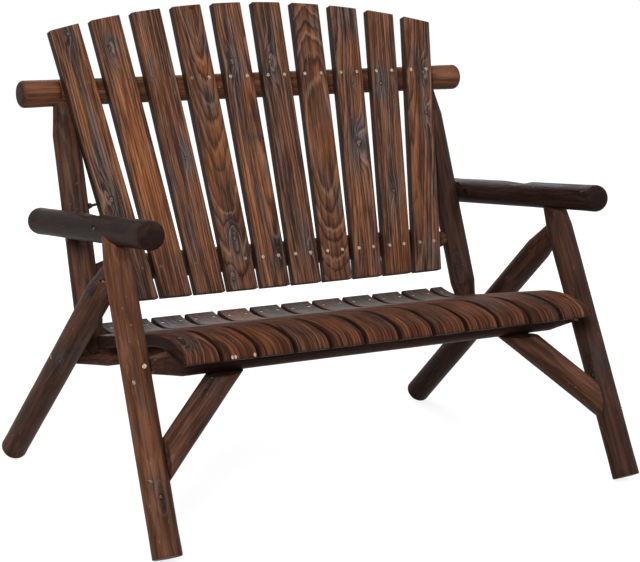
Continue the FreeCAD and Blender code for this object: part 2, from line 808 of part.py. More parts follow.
def slat_bed(rise):
    """The block planed off a back rail so that all slats lie flat on it."""
    reach = back_slat_x(back_slat_count - 1, rise + log_radius) + slat_width / 2 + slat_bed_margin
    corners = []
    for x, drop in ((-reach, -1), (reach, -1), (reach, 1), (-reach, 1)):
        corners.append(back_point(x, rise + drop * log_radius, 0))
    return Part.Face(Part.makePolygon(corners + corners[:1])).extrude(back_depth * back_slat_thickness)


def make_back_rails(post, other_post):
    post_bores = both_sides(post_screw_places[:1])
    top = top_rail_outline(0).cut([slat_bed(top_rail_rise)])
    top = top.cut(bores_at(upper_screw_places, slat_screw_sizes))
    save("top_rail", one_solid(top.cut(bores_at(post_bores, joint_screw_sizes))))
    half = post_axis(lower_rail_rise).x - log_radius + seat_rail_tip_inset
    cone = (lower_rail_taper, lower_rail_tip_radius)
    left = back_point(-half, lower_rail_rise, rail_plane_depth)
    right = back_point(half, lower_rail_rise, rail_plane_depth)
    rail = log(left, right, log_radius, foot_taper=cone, tip_taper=cone)
    rail = rail.cut([slat_bed(lower_rail_rise), post, other_post])
    rail = rail.cut(bores_at(lower_screw_places, slat_screw_sizes))
    rail = rail.cut(bores_at(both_sides(lower_rail_screw_places), joint_screw_sizes))
    save("lower_back_rail", one_solid(rail))


def both_sides(places):
    return places + mirrored_places(places)


def make_seat():
    slat = seat_slat()
    bores = bores_at(rear_screw_seat_places, slat_screw_sizes)
    bores += bores_at(front_screw_seat_places, front_seat_screw_sizes)
    for index in range(seat_slat_count):
        board = slat.copy().translate(vector(seat_slat_x(index), 0, 0))
        near = [bore for bore in bores if bore.BoundBox.intersect(board.BoundBox)]
        board = one_solid(board.cut(near))
        if index == 0:
            board = notched(board, -1)
        if index == seat_slat_count - 1:
            board = notched(board, 1)
        save("seat_slat_%02d" % (index + 1), board)
    save("seat_slat_screws_rear", Part.makeCompound(screws_at(rear_screw_seat_places, slat_screw_sizes)))
    fronts = screws_at(front_screw_seat_places, front_seat_screw_sizes)
    save("seat_slat_screws_front", Part.makeCompound(fronts))


def make_seat_rails():
    seat = seat_board(-seat_half_width, seat_half_width)
    fronts = front_leg_outline(fit_gap)
    braces = [brace_body(), mirrored(brace_body())]
    front = rail_between_legs(front_rail_end, 0).cut([seat, fronts, mirrored(fronts)] + braces)
    front = front.cut(bores_at(front_screw_seat_places, front_seat_screw_sizes))
    places = both_sides(front_rail_screw_places + brace_screw_places[1:])
    front = front.cut(bores_at(both_sides(short_rail_screw_places), short_screw_sizes))
    save("front_seat_rail", one_solid(front.cut(bores_at(places, joint_screw_sizes))))
    rears = rear_leg_outline(fit_gap)
    rear = rail_between_legs(rear_rail_end, 0).cut([seat, rears, mirrored(rears)])
    rear = rear.cut(bores_at(rear_screw_seat_places, slat_screw_sizes))
    places = both_sides(rear_rail_screw_places + post_screw_places[1:])
    save("rear_seat_rail", one_solid(rear.cut(bores_at(places, joint_screw_sizes))))


def save_pair(name, right_solid):
    right_solid = one_solid(right_solid)
    save(name + "_right", right_solid)
    save(name + "_left", mirrored(right_solid))


def make_side_logs():
    """Legs, posts, armrests and braces, made on the right and mirrored to the left."""
    below_floor = half_space(vector(0, 0, 0), vector(0, 0, -1))
    leg = front_leg_outline(0).cut([below_floor, armrest_outline(fit_gap), brace_body()])
    leg = leg.cut(bores_at(short_rail_screw_places + leg_screw_places, short_screw_sizes))
    places = front_rail_screw_places + brace_screw_places[:1] + armrest_screw_places
    save_pair("front_leg", leg.cut(bores_at(places, joint_screw_sizes)))

    leg = rear_leg_outline(0).cut([below_floor, front_leg_outline(fit_gap)])
    leg = leg.cut(bores_at(leg_screw_places, short_screw_sizes))
    save_pair("rear_leg", leg.cut(bores_at(rear_rail_screw_places, joint_screw_sizes)))

    rail = rail_between_legs(rear_rail_end, fit_gap).cut(seat_board(-seat_half_width, seat_half_width))
    outer_slat = back_slat(back_slat_count - 1, back_outline_block())
    post = post_outline(0).cut([rail, top_rail_outline(fit_gap), outer_slat, armrest_lap_block(False)])
    post = post.cut(bolt_cutters())
    places = post_screw_places + lower_rail_screw_places
    save_pair("back_post", post.cut(bores_at(places, joint_screw_sizes)))

    armrest = armrest_outline(0).cut([armrest_lap_block(True), armrest_dip()] + bolt_cutters())
    save_pair("armrest", armrest.cut(bores_at(armrest_screw_places, joint_screw_sizes)))

    save_pair("brace", brace_body().cut(bores_at(brace_screw_places, joint_screw_sizes)))


def save_both_sides(name, solids):
    save(name, Part.makeCompound(solids + [mirrored(solid) for solid in solids]))


def make_fasteners():
    rail_screws = screws_at(front_rail_screw_places, joint_screw_sizes)
    rail_screws += screws_at(short_rail_screw_places, short_screw_sizes)
    save_both_sides("front_rail_screws", rail_screws)
    save_both_sides("leg_screws", screws_at(leg_screw_places, short_screw_sizes))
    groups = {
        "rear_rail_screws": rear_rail_screw_places,
        "brace_screws": brace_screw_places,
        "armrest_screws": armrest_screw_places,
        "post_screws": post_screw_places,
        "lower_back_rail_screws": lower_rail_screw_places,
    }
    for name, places in groups.items():
        save_both_sides(name, screws_at(places, joint_screw_sizes))
    save_both_sides("armrest_bolts", [bolt()])
    save_both_sides("armrest_nuts", [nut()])
    save_both_sides("armrest_washers", [washer()])


make_side_logs()
make_seat_rails()
make_back()
grown_post = post_outline(fit_gap)
make_back_rails(grown_post, mirrored(grown_post))
make_seat()
make_fasteners()
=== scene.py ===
import math

import bmesh
import bpy
import numpy as np
from mathutils import Matrix, Vector


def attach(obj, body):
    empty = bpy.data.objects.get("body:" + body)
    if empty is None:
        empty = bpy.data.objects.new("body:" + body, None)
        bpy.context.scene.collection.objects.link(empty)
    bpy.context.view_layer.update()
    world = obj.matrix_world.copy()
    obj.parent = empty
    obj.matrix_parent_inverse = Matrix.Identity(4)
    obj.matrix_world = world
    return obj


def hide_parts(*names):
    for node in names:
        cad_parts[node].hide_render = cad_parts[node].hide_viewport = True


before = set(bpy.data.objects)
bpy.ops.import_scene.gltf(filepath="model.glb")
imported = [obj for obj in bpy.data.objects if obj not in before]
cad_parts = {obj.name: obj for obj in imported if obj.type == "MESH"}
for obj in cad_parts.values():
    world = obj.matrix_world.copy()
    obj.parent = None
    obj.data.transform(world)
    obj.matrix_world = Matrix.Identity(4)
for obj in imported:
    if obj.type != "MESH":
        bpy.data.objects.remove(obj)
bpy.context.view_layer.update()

MATH = "ShaderNodeMath"
VECTOR = "ShaderNodeVectorMath"
NOISE = "ShaderNodeTexNoise"
MAP = "ShaderNodeMapRange"
MIX = "ShaderNodeMix"
FIELD = "ShaderNodeAttribute"
SPLIT = "ShaderNodeSeparateXYZ"
JOIN = "ShaderNodeCombineXYZ"

# A rustic garden bench of scorched fir: round logs, a fanned back of ten slats and a seat of
# twelve slats. Lengths are in metres. Along a piece, u runs with the grain, v across and w in depth.
MM = 0.001

# Boards, with the sizes of the model
SLAT_WIDTH = 70 * MM
SLAT_PITCH = 79.07 * MM
BACK_THICKNESS = 18 * MM
SEAT_THICKNESS = 24 * MM
BACK_EDGE = 1.6 * MM                 # rounding of the front edges
BACK_REAR_EDGE = 0.4 * MM
SEAT_EDGE = 3 * MM
BACK_CORNER = 2.2 * MM               # rounding of the corners at the ends
BACK_MIDDLE = 4.5                    # where the middle lies in the row of slats, counted from 0
SEAT_MIDDLE = 5.5
SEAT_SEED = 20                       # sets the seat's grain apart from the back's
STEP = 5 * MM                        # between the rings of points along a board
NEAR_END = (0.15 * MM, 0.5 * MM, 1.0 * MM)      # the closer rings at an end
SLAT_FOOT = Vector((0, 94.69, 395.68)) * MM
BACK_LEAN = math.radians(19.3)
BACK_UP = Vector((0, math.sin(BACK_LEAN), math.cos(BACK_LEAN)))
BACK_DEPTH = Vector((0, math.cos(BACK_LEAN), -math.sin(BACK_LEAN)))
FAN = math.radians(1.8)
CROWN_RISE = 645.38 * MM
CROWN_RADIUS = 2039 * MM
SEAT_CREST = Vector((0, -255.72, 393.5)) * MM
SEAT_BENDS = [                       # from the crest: radius and turn in degrees, or length and None
    (326.04 * MM, -11.42),
    (245.75 * MM, None),
    (231.0 * MM, 26.42),
]
NOSE_BENDS = [(326 * MM, -14), (36 * MM, -61)]
CHIPS = (-18.2, -11.2, 29.4)         # mm from the middle of the one chipped seat slat
NOTCH_X = 430.885 * MM               # the inner side of the notch for a post, and its front
NOTCH_Y = 76.48 * MM
NOTCH_BLOCK = 500 * MM

# Screws: radius, then the head's radius and depth
SLAT_SCREW = (2 * MM, 4 * MM, 2.6 * MM)
JOINT_SCREW = (2.5 * MM, 4.6 * MM, 3 * MM)
SCREW_POINT = 6 * MM
BORE_GAP = 0.25 * MM
POCKET = 8 * MM                      # the way in above a sunk head
SCREW_END = 3 * MM                   # as much of each end as tells the point from the head
SEAT_TOP = 0.42                      # heads above this are in the back, and above the next
UPPER_ROW = 0.6                      # in its upper row

# Logs: axes in mm from end to end, first those on the right-hand side
LOG_RADIUS = 29 * MM
LOG_SLICE = 14 * MM
HELD_END = 30 * MM                   # of a log, that stays even
UNEVENNESS = 1 * MM
UNEVEN_WAVE = 40 * MM
CHARRED_END = 7 * MM
SIDE_LOGS = {
    "front_leg": ((537.99, -415.4, 0), (522.11, -141.16, 586.5)),
    "rear_leg": ((536.29, 441.8, 0), (527.51, -168.75, 527.5)),
    "back_post": ((469.88, 98.48, 288.5), (454.49, 284.86, 820.71)),
    "armrest": ((515.79, -324.55, 601.51), (517.83, 274.98, 552.43)),
    "brace": ((533.97, -345.96, 148.5), (315.94, -255.72, 341.5)),
}
CROSS_LOGS = {
    "top_rail": ((-547.99, 284.86, 820.71), (547.99, 284.86, 820.71)),
    "lower_back_rail": ((-466, 156.81, 455.08), (466, 156.81, 455.08)),
    "front_seat_rail": ((-528.74, -255.72, 341.5), (528.74, -255.72, 341.5)),
    "rear_seat_rail": ((-531.49, 107.88, 288.5), (531.49, 107.88, 288.5)),
}


def srgb(code):
    """A hex colour as linear red, green, blue and alpha."""
    shares = [int(code[place:place + 2], 16) / 255 for place in (1, 3, 5)]
    linear = [share / 12.92 if share <= 0.04045 else ((share + 0.055) / 1.055) ** 2.4 for share in shares]
    return (*linear, 1)


def add(tree, kind, inputs=(), **settings):
    """Adds a node. Inputs are values, sockets or nodes, in order or by name or number."""
    node = tree.nodes.new(kind)
    for name, value in settings.items():
        setattr(node, name, value)
    for key, value in inputs.items() if isinstance(inputs, dict) else enumerate(inputs):
        if isinstance(value, bpy.types.Node):
            value = next(socket for socket in value.outputs if socket.enabled)
        if isinstance(value, bpy.types.NodeSocket):
            tree.links.new(value, node.inputs[key])
        else:
            node.inputs[key].default_value = value
    return node


# Geometry trees

def new_tree(name, inputs):
    """A geometry tree with a Geometry input and output, and the named inputs between."""
    tree = bpy.data.node_groups.new(name, "GeometryNodeTree")
    for label, kind in [("Geometry", "Geometry"), *inputs]:
        tree.interface.new_socket(label, in_out="INPUT", socket_type="NodeSocket" + kind)
    tree.interface.new_socket("Geometry", in_out="OUTPUT", socket_type="NodeSocketGeometry")
    return tree, tree.nodes.new("NodeGroupInput").outputs, tree.nodes.new("NodeGroupOutput").inputs


def end_tree(tree, geometry, finish, out):
    """Ends a tree: real geometry, in its finish."""
    whole = add(tree, "GeometryNodeRealizeInstances", [geometry])
    done = add(tree, "GeometryNodeSetMaterial", {"Geometry": whole, "Material": finish})
    tree.links.new(done.outputs[0], out[0])
    return tree


def placed(name, data):
    """A new object in the scene."""
    thing = bpy.data.objects.new(name, data)
    bpy.context.scene.collection.objects.link(thing)
    return thing


def new_mesh(name, points, edges, faces):
    """A mesh given point by point."""
    mesh = bpy.data.meshes.new(name)
    mesh.from_pydata(points, edges, faces)
    return mesh


def plain_mesh(holder):
    """The plain mesh that comes out of an object's modifiers, which are then removed."""
    graph = bpy.context.evaluated_depsgraph_get()
    result = bpy.data.meshes.new_from_object(
        holder.evaluated_get(graph), preserve_all_data_layers=True, depsgraph=graph)
    holder.modifiers.clear()
    bpy.data.objects.remove(holder)
    return result


def grown(mesh, tree, values):
    """Runs a tree on a mesh."""
    holder = placed("holder", mesh)
    modifier = holder.modifiers.new("grow", "NODES")
    modifier.node_group = tree
    for item in tree.interface.items_tree:
        if item.item_type == "SOCKET" and item.in_out == "INPUT" and item.name in values:
            modifier[item.identifier] = values[item.name]
    return plain_mesh(holder)


def cut(mesh, cutters):
    """Takes the cutters' solids out of a mesh."""
    holder = placed("holder", mesh)
    for cutter in cutters:
        modifier = holder.modifiers.new("cut", "BOOLEAN")
        modifier.operation = "DIFFERENCE"
        modifier.solver = "EXACT"
        modifier.object = cutter
    return plain_mesh(holder)


def board_tree():
    """Sweeps a board's section along its middle line. Across is the way that its width points."""
    sockets = [("Section", "Object"), ("Across", "Vector"), ("Finish", "Material")]
    tree, given, out = new_tree("swept_board", sockets)
    line = add(tree, "GeometryNodeMeshToCurve", {"Mesh": given["Geometry"]})
    held = add(tree, "GeometryNodeSetCurveNormal", {"Curve": line, "Normal": given["Across"]}, mode="FREE")
    section = add(tree, "GeometryNodeObjectInfo", {"Object": given["Section"]})
    rim = add(tree, "GeometryNodeMeshToCurve", {"Mesh": section.outputs["Geometry"]})
    board = add(tree, "GeometryNodeCurveToMesh", {"Curve": held, "Profile Curve": rim, "Fill Caps": True})
    return end_tree(tree, board, given["Finish"], out)


def log_tree():
    """Gives a log's turned surface the slight unevenness of peeled wood, only ever inwards, and none
    where it is held: near its ends, by the field that is 0 there and 1 along its middle."""
    sockets = [("Unevenness", "Float"), ("Wave Length", "Float"), ("Seed", "Float"), ("Finish", "Material")]
    tree, given, out = new_tree("peeled_log", sockets)
    grain = add(tree, "GeometryNodeInputNamedAttribute", {"Name": "grain"}, data_type="FLOAT_VECTOR")
    loose = add(tree, "GeometryNodeInputNamedAttribute", {"Name": "loose"}, data_type="FLOAT")
    waves = add(tree, MATH, [1.0, given["Wave Length"]], operation="DIVIDE")
    place = add(tree, VECTOR, [grain, (0.35, 1.0, 1.0)], operation="MULTIPLY")
    noise = add(tree, NOISE, {"Vector": place, "W": given["Seed"], "Scale": waves, "Detail": 1.0},
                noise_dimensions="4D")
    depth = add(tree, MATH, [noise, given["Unevenness"]], operation="MULTIPLY")
    depth = add(tree, MATH, [depth, loose], operation="MULTIPLY")
    depth = add(tree, MATH, [depth, -1.0], operation="MULTIPLY")
    normal = add(tree, "GeometryNodeInputNormal")
    shift = add(tree, VECTOR, {"Vector": normal, "Scale": depth}, operation="SCALE")
    moved = add(tree, "GeometryNodeSetPosition", {"Geometry": given["Geometry"], "Offset": shift})
    return end_tree(tree, moved, given["Finish"], out)


def screw_tree():
    """Puts a screw, or the hole for one, at each point, driven along the point's aim."""
    sockets = [("Screw", "Object"), ("Finish", "Material")]
    tree, given, out = new_tree("driven_screws", sockets)
    aim = add(tree, "GeometryNodeInputNamedAttribute", {"Name": "aim"}, data_type="FLOAT_VECTOR")
    turn = add(tree, "GeometryNodeInputNamedAttribute", {"Name": "turn"}, data_type="FLOAT")
    aimed = add(tree, "FunctionNodeAlignRotationToVector", {"Vector": aim}, axis="Z")
    spin = add(tree, "FunctionNodeAxisAngleToRotation", {"Axis": (0, 0, 1), "Angle": turn})
    turned = add(tree, "FunctionNodeRotateRotation", {"Rotation": aimed, "Rotate By": spin},
                 rotation_space="LOCAL")
    screw = add(tree, "GeometryNodeObjectInfo", {"Object": given["Screw"]})
    driven = add(tree, "GeometryNodeInstanceOnPoints",
                 {"Points": given["Geometry"], "Instance": screw.outputs["Geometry"],
                  "Rotation": turned})
    return end_tree(tree, driven, given["Finish"], out)


# Materials

# Length of each wave along the grain and its width across it, in mm, then detail, roughness, twist.
# Real fibres are far finer: these are as wide as they need to be to show.
WAVES = {
    "wander": (200, 38, 1.5, 0.5, 0.0),
    "shiver": (60, 8, 2.5, 0.55, 0.0),
    "fibre": (55, 2.0, 2.5, 0.65, 0.0),
    "streak": (190, 12, 3.5, 0.62, 0.4),
    "cloud": (230, 62, 2.5, 0.6, 0.4),
    "patch": (120, 34, 3.0, 0.62, 0.3),
    "rag": (9, 5, 3.0, 0.65, 0.6),
    "fleck": (11, 4.5, 1.0, 0.5, 0.0),
}


def new_material(name):
    """A material with an empty tree."""
    material = bpy.data.materials.new(name)
    material.use_nodes = True
    material.node_tree.nodes.clear()
    return material, material.node_tree


def scorched_fir(name, look):
    """Fir that was scorched, brushed and oiled. The year rings come from each piece's own heart line,
    and their dark latewood stands out as raised lines. Scorching leaves grey and black clouds, and
    where it was brushed away the wood is amber. The char takes away most of the shine."""
    material, tree = new_material(name)

    def reckon(operation, *values, **settings):
        return add(tree, MATH, values, operation=operation, **settings)

    def ramp(value, *limits):
        return add(tree, MAP, [value, *limits], interpolation_type="SMOOTHSTEP")

    def blend(share, low, high):
        return add(tree, MIX, {0: share, 6: low, 7: high}, data_type="RGBA")

    fields = {}
    for label in ("grain", "rings", "stain_and_shade", "knot_a", "knot_b"):
        fields[label] = add(tree, FIELD, attribute_name=label).outputs["Vector"]
    stain_and_shade = add(tree, SPLIT, [fields["stain_and_shade"]]).outputs
    wave = {}
    for label, (length, width, detail, rough, twist) in WAVES.items():
        stretch = (1 / (length * MM), 1 / (width * MM), 1 / (width * MM))
        place = add(tree, VECTOR, [fields["grain"], stretch], operation="MULTIPLY")
        wave[label] = add(tree, NOISE, {"Vector": place, "Scale": 1.0, "Detail": detail,
                                        "Roughness": rough, "Distortion": twist})

    # distance from the heart, waved
    place = add(tree, SPLIT, [fields["rings"]]).outputs
    radius = add(tree, VECTOR, [add(tree, JOIN, [0.0, place[1], place[2]])], operation="LENGTH")
    for label in ("wander", "shiver"):
        reach = look[label] * MM
        radius = reckon("ADD", radius, reckon("MULTIPLY_ADD", wave[label], reach, -reach / 2))

    # each knot pushes the rings aside, and has a ragged eye with rings of its own
    eye, halo = 9.0, 0.0
    for label in ("knot_a", "knot_b"):
        near = add(tree, SPLIT, [fields[label]]).outputs
        along, aside = [reckon("DIVIDE", way, near[2]) for way in near[:2]]
        along, aside = [reckon("MULTIPLY", way, way) for way in (along, aside)]
        drawn = reckon("MULTIPLY_ADD", along, 0.10, aside)
        push, glow = [reckon("EXPONENT", reckon("MULTIPLY", drawn, fall)) for fall in (-0.32, -0.14)]
        radius = reckon("MULTIPLY_ADD", reckon("MULTIPLY", push, near[2]), 2.0, radius)
        halo = reckon("MAXIMUM", glow, halo)
        oval = reckon("SQRT", reckon("MULTIPLY_ADD", along, 0.45, aside))
        eye = reckon("MINIMUM", reckon("MULTIPLY_ADD", wave["rag"], 1.9, oval), eye)

    year = reckon("DIVIDE", radius, look["ring"] * MM)
    turn = reckon("FRACT", year)
    chance = add(tree, "ShaderNodeTexWhiteNoise", {"W": reckon("FLOOR", year)}, noise_dimensions="1D")
    late = reckon("MULTIPLY", ramp(turn, look["late_from"], 0.90, 0.0, 1.0), ramp(turn, 0.93, 1.0, 1.0, 0.0))
    pale = reckon("MULTIPLY", ramp(turn, 0.02, 0.14, 0.0, 1.0), ramp(turn, 0.16, 0.36, 1.0, 0.0))

    # how far scorched, and how far brushed back to amber
    start, most = look["char_from"], look["char_most"]
    char = reckon("ADD", stain_and_shade[0], ramp(wave["cloud"], start, start + 0.12, 0.0, most))
    char = reckon("MULTIPLY_ADD", halo, 0.8, char)
    char = reckon("MULTIPLY", char, ramp(wave["patch"], 0.34, 0.56, 0.5, 1.15), use_clamp=True)
    start, most = look["amber_from"], look["amber_most"]
    bare = reckon("ADD", stain_and_shade[1], ramp(wave["patch"], start, start + 0.14, 0.0, most), use_clamp=True)

    streak = ramp(wave["streak"], 0.38, 0.62, 0.0, 1.0)
    pairs = (("dark_brown", "brown"), ("amber_dark", "amber"), ("soot_and_shade", "ash"))
    wood, amber, ashes = [blend(streak, srgb(look[low]), srgb(look[high])) for low, high in pairs]
    wood = blend(bare, wood, amber)
    wood = blend(reckon("MULTIPLY", char, 0.94), wood, ashes)
    shade = reckon("MULTIPLY", add(tree, MAP, [chance, 0.0, 1.0, 0.82, 1.16]),
                   add(tree, MAP, [wave["patch"], 0.34, 0.66, 1.22, 0.72]))
    wood = add(tree, VECTOR, {"Vector": wood, "Scale": shade}, operation="SCALE")

    # year lines, fibres, knots, flecks and soot; on the logs the soot layer also carries painted shade
    pale = reckon("MULTIPLY", pale, add(tree, MAP, [chance, 0.3, 1.0, 0.0, look["pale_line"]]))
    line = reckon("MULTIPLY", late, add(tree, MAP, [chance, 0.0, 1.0, look["line"] * 0.3, look["line"]]))
    lift = ramp(wave["fibre"], 0.52, 0.72, 0.0, look["fibre"])
    pore = ramp(wave["fibre"], 0.30, 0.48, look["fibre"] * 1.6, 0.0)
    for layer, colour in ((pale, "pale"), (line, "latewood"), (lift, "pale"), (pore, "latewood")):
        wood = blend(layer, wood, srgb(look[colour]))
    ripple = ramp(reckon("SINE", reckon("MULTIPLY", eye, 7.0)), -0.2, 1.0, 0.0, 1.0)
    core = ramp(eye, 1.35, 2.1, 0.8, 0.0)
    wood = blend(core, wood, blend(ripple, srgb(look["knot"]), srgb(look["knot_ring"])))
    fleck = ramp(wave["fleck"], 0.72, 0.78, 0.0, look["flecks"])
    for layer, colour in ((fleck, "fleck"), (stain_and_shade[2], "soot_and_shade")):
        wood = blend(layer, wood, srgb(look[colour]))

    # small pale chips, on the seat slat that stores the way from them
    chips = add(tree, FIELD, attribute_name="chips").outputs["Vector"]
    for aside in CHIPS:
        away = add(tree, VECTOR, [chips, (0.0, aside * MM, 0.0)], operation="SUBTRACT")
        away = add(tree, VECTOR, [away], operation="LENGTH")
        wood = blend(ramp(away, 1.9 * MM, 3.0 * MM, 0.95, 0.0), wood, srgb("#c9a48e"))

    height = reckon("MULTIPLY_ADD", late, 0.5, reckon("MULTIPLY", wave["fibre"], 0.6))
    height = reckon("MULTIPLY_ADD", core, -0.4, height)
    relief = add(tree, "ShaderNodeBump", {"Strength": look["relief"], "Distance": 1.0 * MM, "Height": height})
    rough = add(tree, MAP, [wave["streak"], 0.35, 0.65, look["rough"] - 0.06, look["rough"] + 0.08])
    finish = add(tree, "ShaderNodeBsdfPrincipled",
                 {"Base Color": wood, "Roughness": rough, "IOR": 1.45, "Specular IOR Level": look["shine"],
                  "Normal": relief})
    add(tree, "ShaderNodeOutputMaterial", {"Surface": finish})
    return material


# Looks of the wood: colours, then sizes in mm and shares. The back is the palest, with grey
# scorching and the sharpest year lines.
BACK_LOOK = {
    "flecks": 0.0, "fleck": "#a86f56",
    "dark_brown": "#3c241c", "brown": "#7a4e37", "amber_dark": "#74401f", "amber": "#a0623a",
    "soot_and_shade": "#1f1514", "ash": "#5a5455", "latewood": "#22130f", "pale": "#a4826b",
    "knot": "#251815", "knot_ring": "#7c6a5e",
    "ring": 5.6, "wander": 10, "shiver": 3.0, "late_from": 0.50,
    "line": 0.94, "pale_line": 0.46, "fibre": 0.36, "relief": 0.6, "rough": 0.58, "shine": 0.10,
    "char_from": 0.57, "char_most": 0.7, "amber_from": 0.50, "amber_most": 0.5,
}
# The seat is darker, partly its own darker wood and partly painted shade, since its top faces up, away from
# the front light; it has less grey and less shine.
SEAT_LOOK = {
    **BACK_LOOK,
    "dark_brown": "#2b1811", "brown": "#613825", "amber_dark": "#592d16", "amber": "#854b2a",
    "ash": "#3f3836", "pale": "#906a52",
    "line": 0.9, "char_most": 0.4, "shine": 0.04,
}
# The peeled logs are more even, with faint year lines and pale flecks.
LOG_LOOK = {
    **BACK_LOOK,
    "dark_brown": "#3f271e", "brown": "#664333", "amber_dark": "#613821", "amber": "#7f5036",
    "ash": "#554d4b", "pale": "#8f7462",
    "ring": 5.0, "wander": 18, "shiver": 2.6, "late_from": 0.6,
    "line": 0.22, "pale_line": 0.14, "fibre": 0.20, "relief": 0.4, "rough": 0.52, "shine": 0.05,
    "char_from": 0.55, "char_most": 0.6, "amber_from": 0.56, "amber_most": 0.4, "flecks": 0.6,
}
# The armrests are the darkest.
ARMREST_LOOK = {
    **LOG_LOOK,
    "dark_brown": "#1f1512", "brown": "#38241d", "amber_dark": "#331f17", "amber": "#472b1f",
    "ash": "#332927", "pale": "#57443a", "fleck": "#8d7a66",
    "line": 0.25, "rough": 0.50, "shine": 0.035, "relief": 0.35, "flecks": 0.22,
}


def steel(name, clean, dull, spots, rough, metal):
    """Metal with a mottled finish: two colours, and spots so many mm apart."""
    material, tree = new_material(name)
    place = add(tree, "ShaderNodeTexCoord").outputs["Object"]
    mottle = add(tree, NOISE, {"Vector": place, "Scale": 1 / (spots * MM), "Detail": 2.5})
    share = add(tree, MAP, [mottle, 0.38, 0.62, 0.0, 1.0], interpolation_type="SMOOTHSTEP")
    tint = add(tree, MIX, {0: share, 6: srgb(clean), 7: srgb(dull)}, data_type="RGBA")
    soil = add(tree, MATH, [add(tree, FIELD, attribute_name="soil").outputs["Fac"],
                            add(tree, FIELD, attribute_name="shank").outputs["Fac"]], operation="MAXIMUM")
    tint = add(tree, MIX, {0: soil, 6: tint, 7: srgb("#4a3329")}, data_type="RGBA")
    level = add(tree, MAP, [share, 0.0, 1.0, rough, rough + 0.2])
    relief = add(tree, "ShaderNodeBump", {"Strength": 0.25, "Distance": 0.12 * MM, "Height": mottle})
    finish = add(tree, "ShaderNodeBsdfPrincipled",
                 {"Base Color": tint, "Metallic": metal, "Roughness": level, "Normal": relief})
    add(tree, "ShaderNodeOutputMaterial", {"Surface": finish})
    return material


# Pieces

def positions(mesh):
    """The points of a mesh, one a row."""
    flat = np.empty(len(mesh.vertices) * 3)
    mesh.vertices.foreach_get("co", flat)
    return flat.reshape(-1, 3)


def set_field(mesh, name, values):
    """Stores a number or a vector for each point of the mesh."""
    kind = "FLOAT" if values.ndim == 1 else "FLOAT_VECTOR"
    if name in mesh.attributes:
        mesh.attributes.remove(mesh.attributes[name])
    layer = mesh.attributes.new(name, kind, "POINT")
    layer.data.foreach_set("value" if values.ndim == 1 else "vector", values.astype(np.float32).ravel())


def field(mesh, name, size):
    """A stored number or vector of each point."""
    values = np.empty(len(mesh.vertices) * size, np.float32)
    mesh.attributes[name].data.foreach_get("value" if size == 1 else "vector", values)
    return values.astype(float).reshape(-1, size) if size > 1 else values.astype(float)


def finished(name, mesh, nodes):
    """Makes the piece that stands for these nodes of the model."""
    for polygon in mesh.polygons:
        polygon.use_smooth = True
    mesh.set_sharp_from_angle(angle=math.radians(32))
    piece = placed(name, mesh)
    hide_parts(*nodes)
    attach(piece, "root")


def patches(u, v, spots):
    """Adds up soft spots: place along and across, reach along and across, strength."""
    total = np.zeros_like(u)
    for along, aside, long_reach, wide_reach, strength in spots:
        total += strength * np.exp(-((u - along) / long_reach) ** 2 - ((v - aside) / wide_reach) ** 2)
    return np.clip(total, 0, 1)


def set_knots(mesh, u, v, knots):
    """Stores the way from each of two knots, and its radius. A missing knot is far away."""
    for label, knot in zip(("knot_a", "knot_b"), [*knots, None, None]):
        along, aside, radius = knot or (9.0, 9.0, 5 * MM)
        set_field(mesh, label, np.stack([u - along, v - aside, np.full_like(u, radius)], 1))


def board_section(width, thickness, front_edge, back_edge):
    """A closed line round a board's section, with rounded edges, as an object for the tree."""
    corners = [(1, 1, back_edge), (-1, 1, back_edge), (-1, -1, front_edge), (1, -1, front_edge)]
    points = []
    for number, (side, face, edge) in enumerate(corners):
        for step in range(4):
            angle = math.radians(90 * number + 30 * step)
            points.append((side * (width / 2 - edge) + edge * math.cos(angle),
                           face * (thickness / 2 - edge) + edge * math.sin(angle)))
    outline = []
    for point, after in zip(points, points[1:] + points[:1]):
        count = max(1, round(math.dist(point, after) / STEP))
        for step in range(count):
            share = step / count
            x = point[0] + (after[0] - point[0]) * share
            y = point[1] + (after[1] - point[1]) * share
            outline.append((x, y, 0))
    mesh = new_mesh("section", outline, [(n, (n + 1) % len(outline)) for n in range(len(outline))], [])
    set_field(mesh, "section", positions(mesh))
    return placed("section", mesh)


def polyline(points, stations):
    """A line through the points, that keeps each one's station along the board."""
    edges = [(n, n + 1) for n in range(len(points) - 1)]
    mesh = new_mesh("line", [tuple(point) for point in points], edges, [])
    set_field(mesh, "station", np.array(stations))
    return mesh


def end_depth(distance, radius):
    """How far a rounded edge cuts in, at a distance from the end."""
    inside = np.clip(distance, 0, radius)
    return radius - np.sqrt(np.maximum(radius ** 2 - (radius - inside) ** 2, 0))


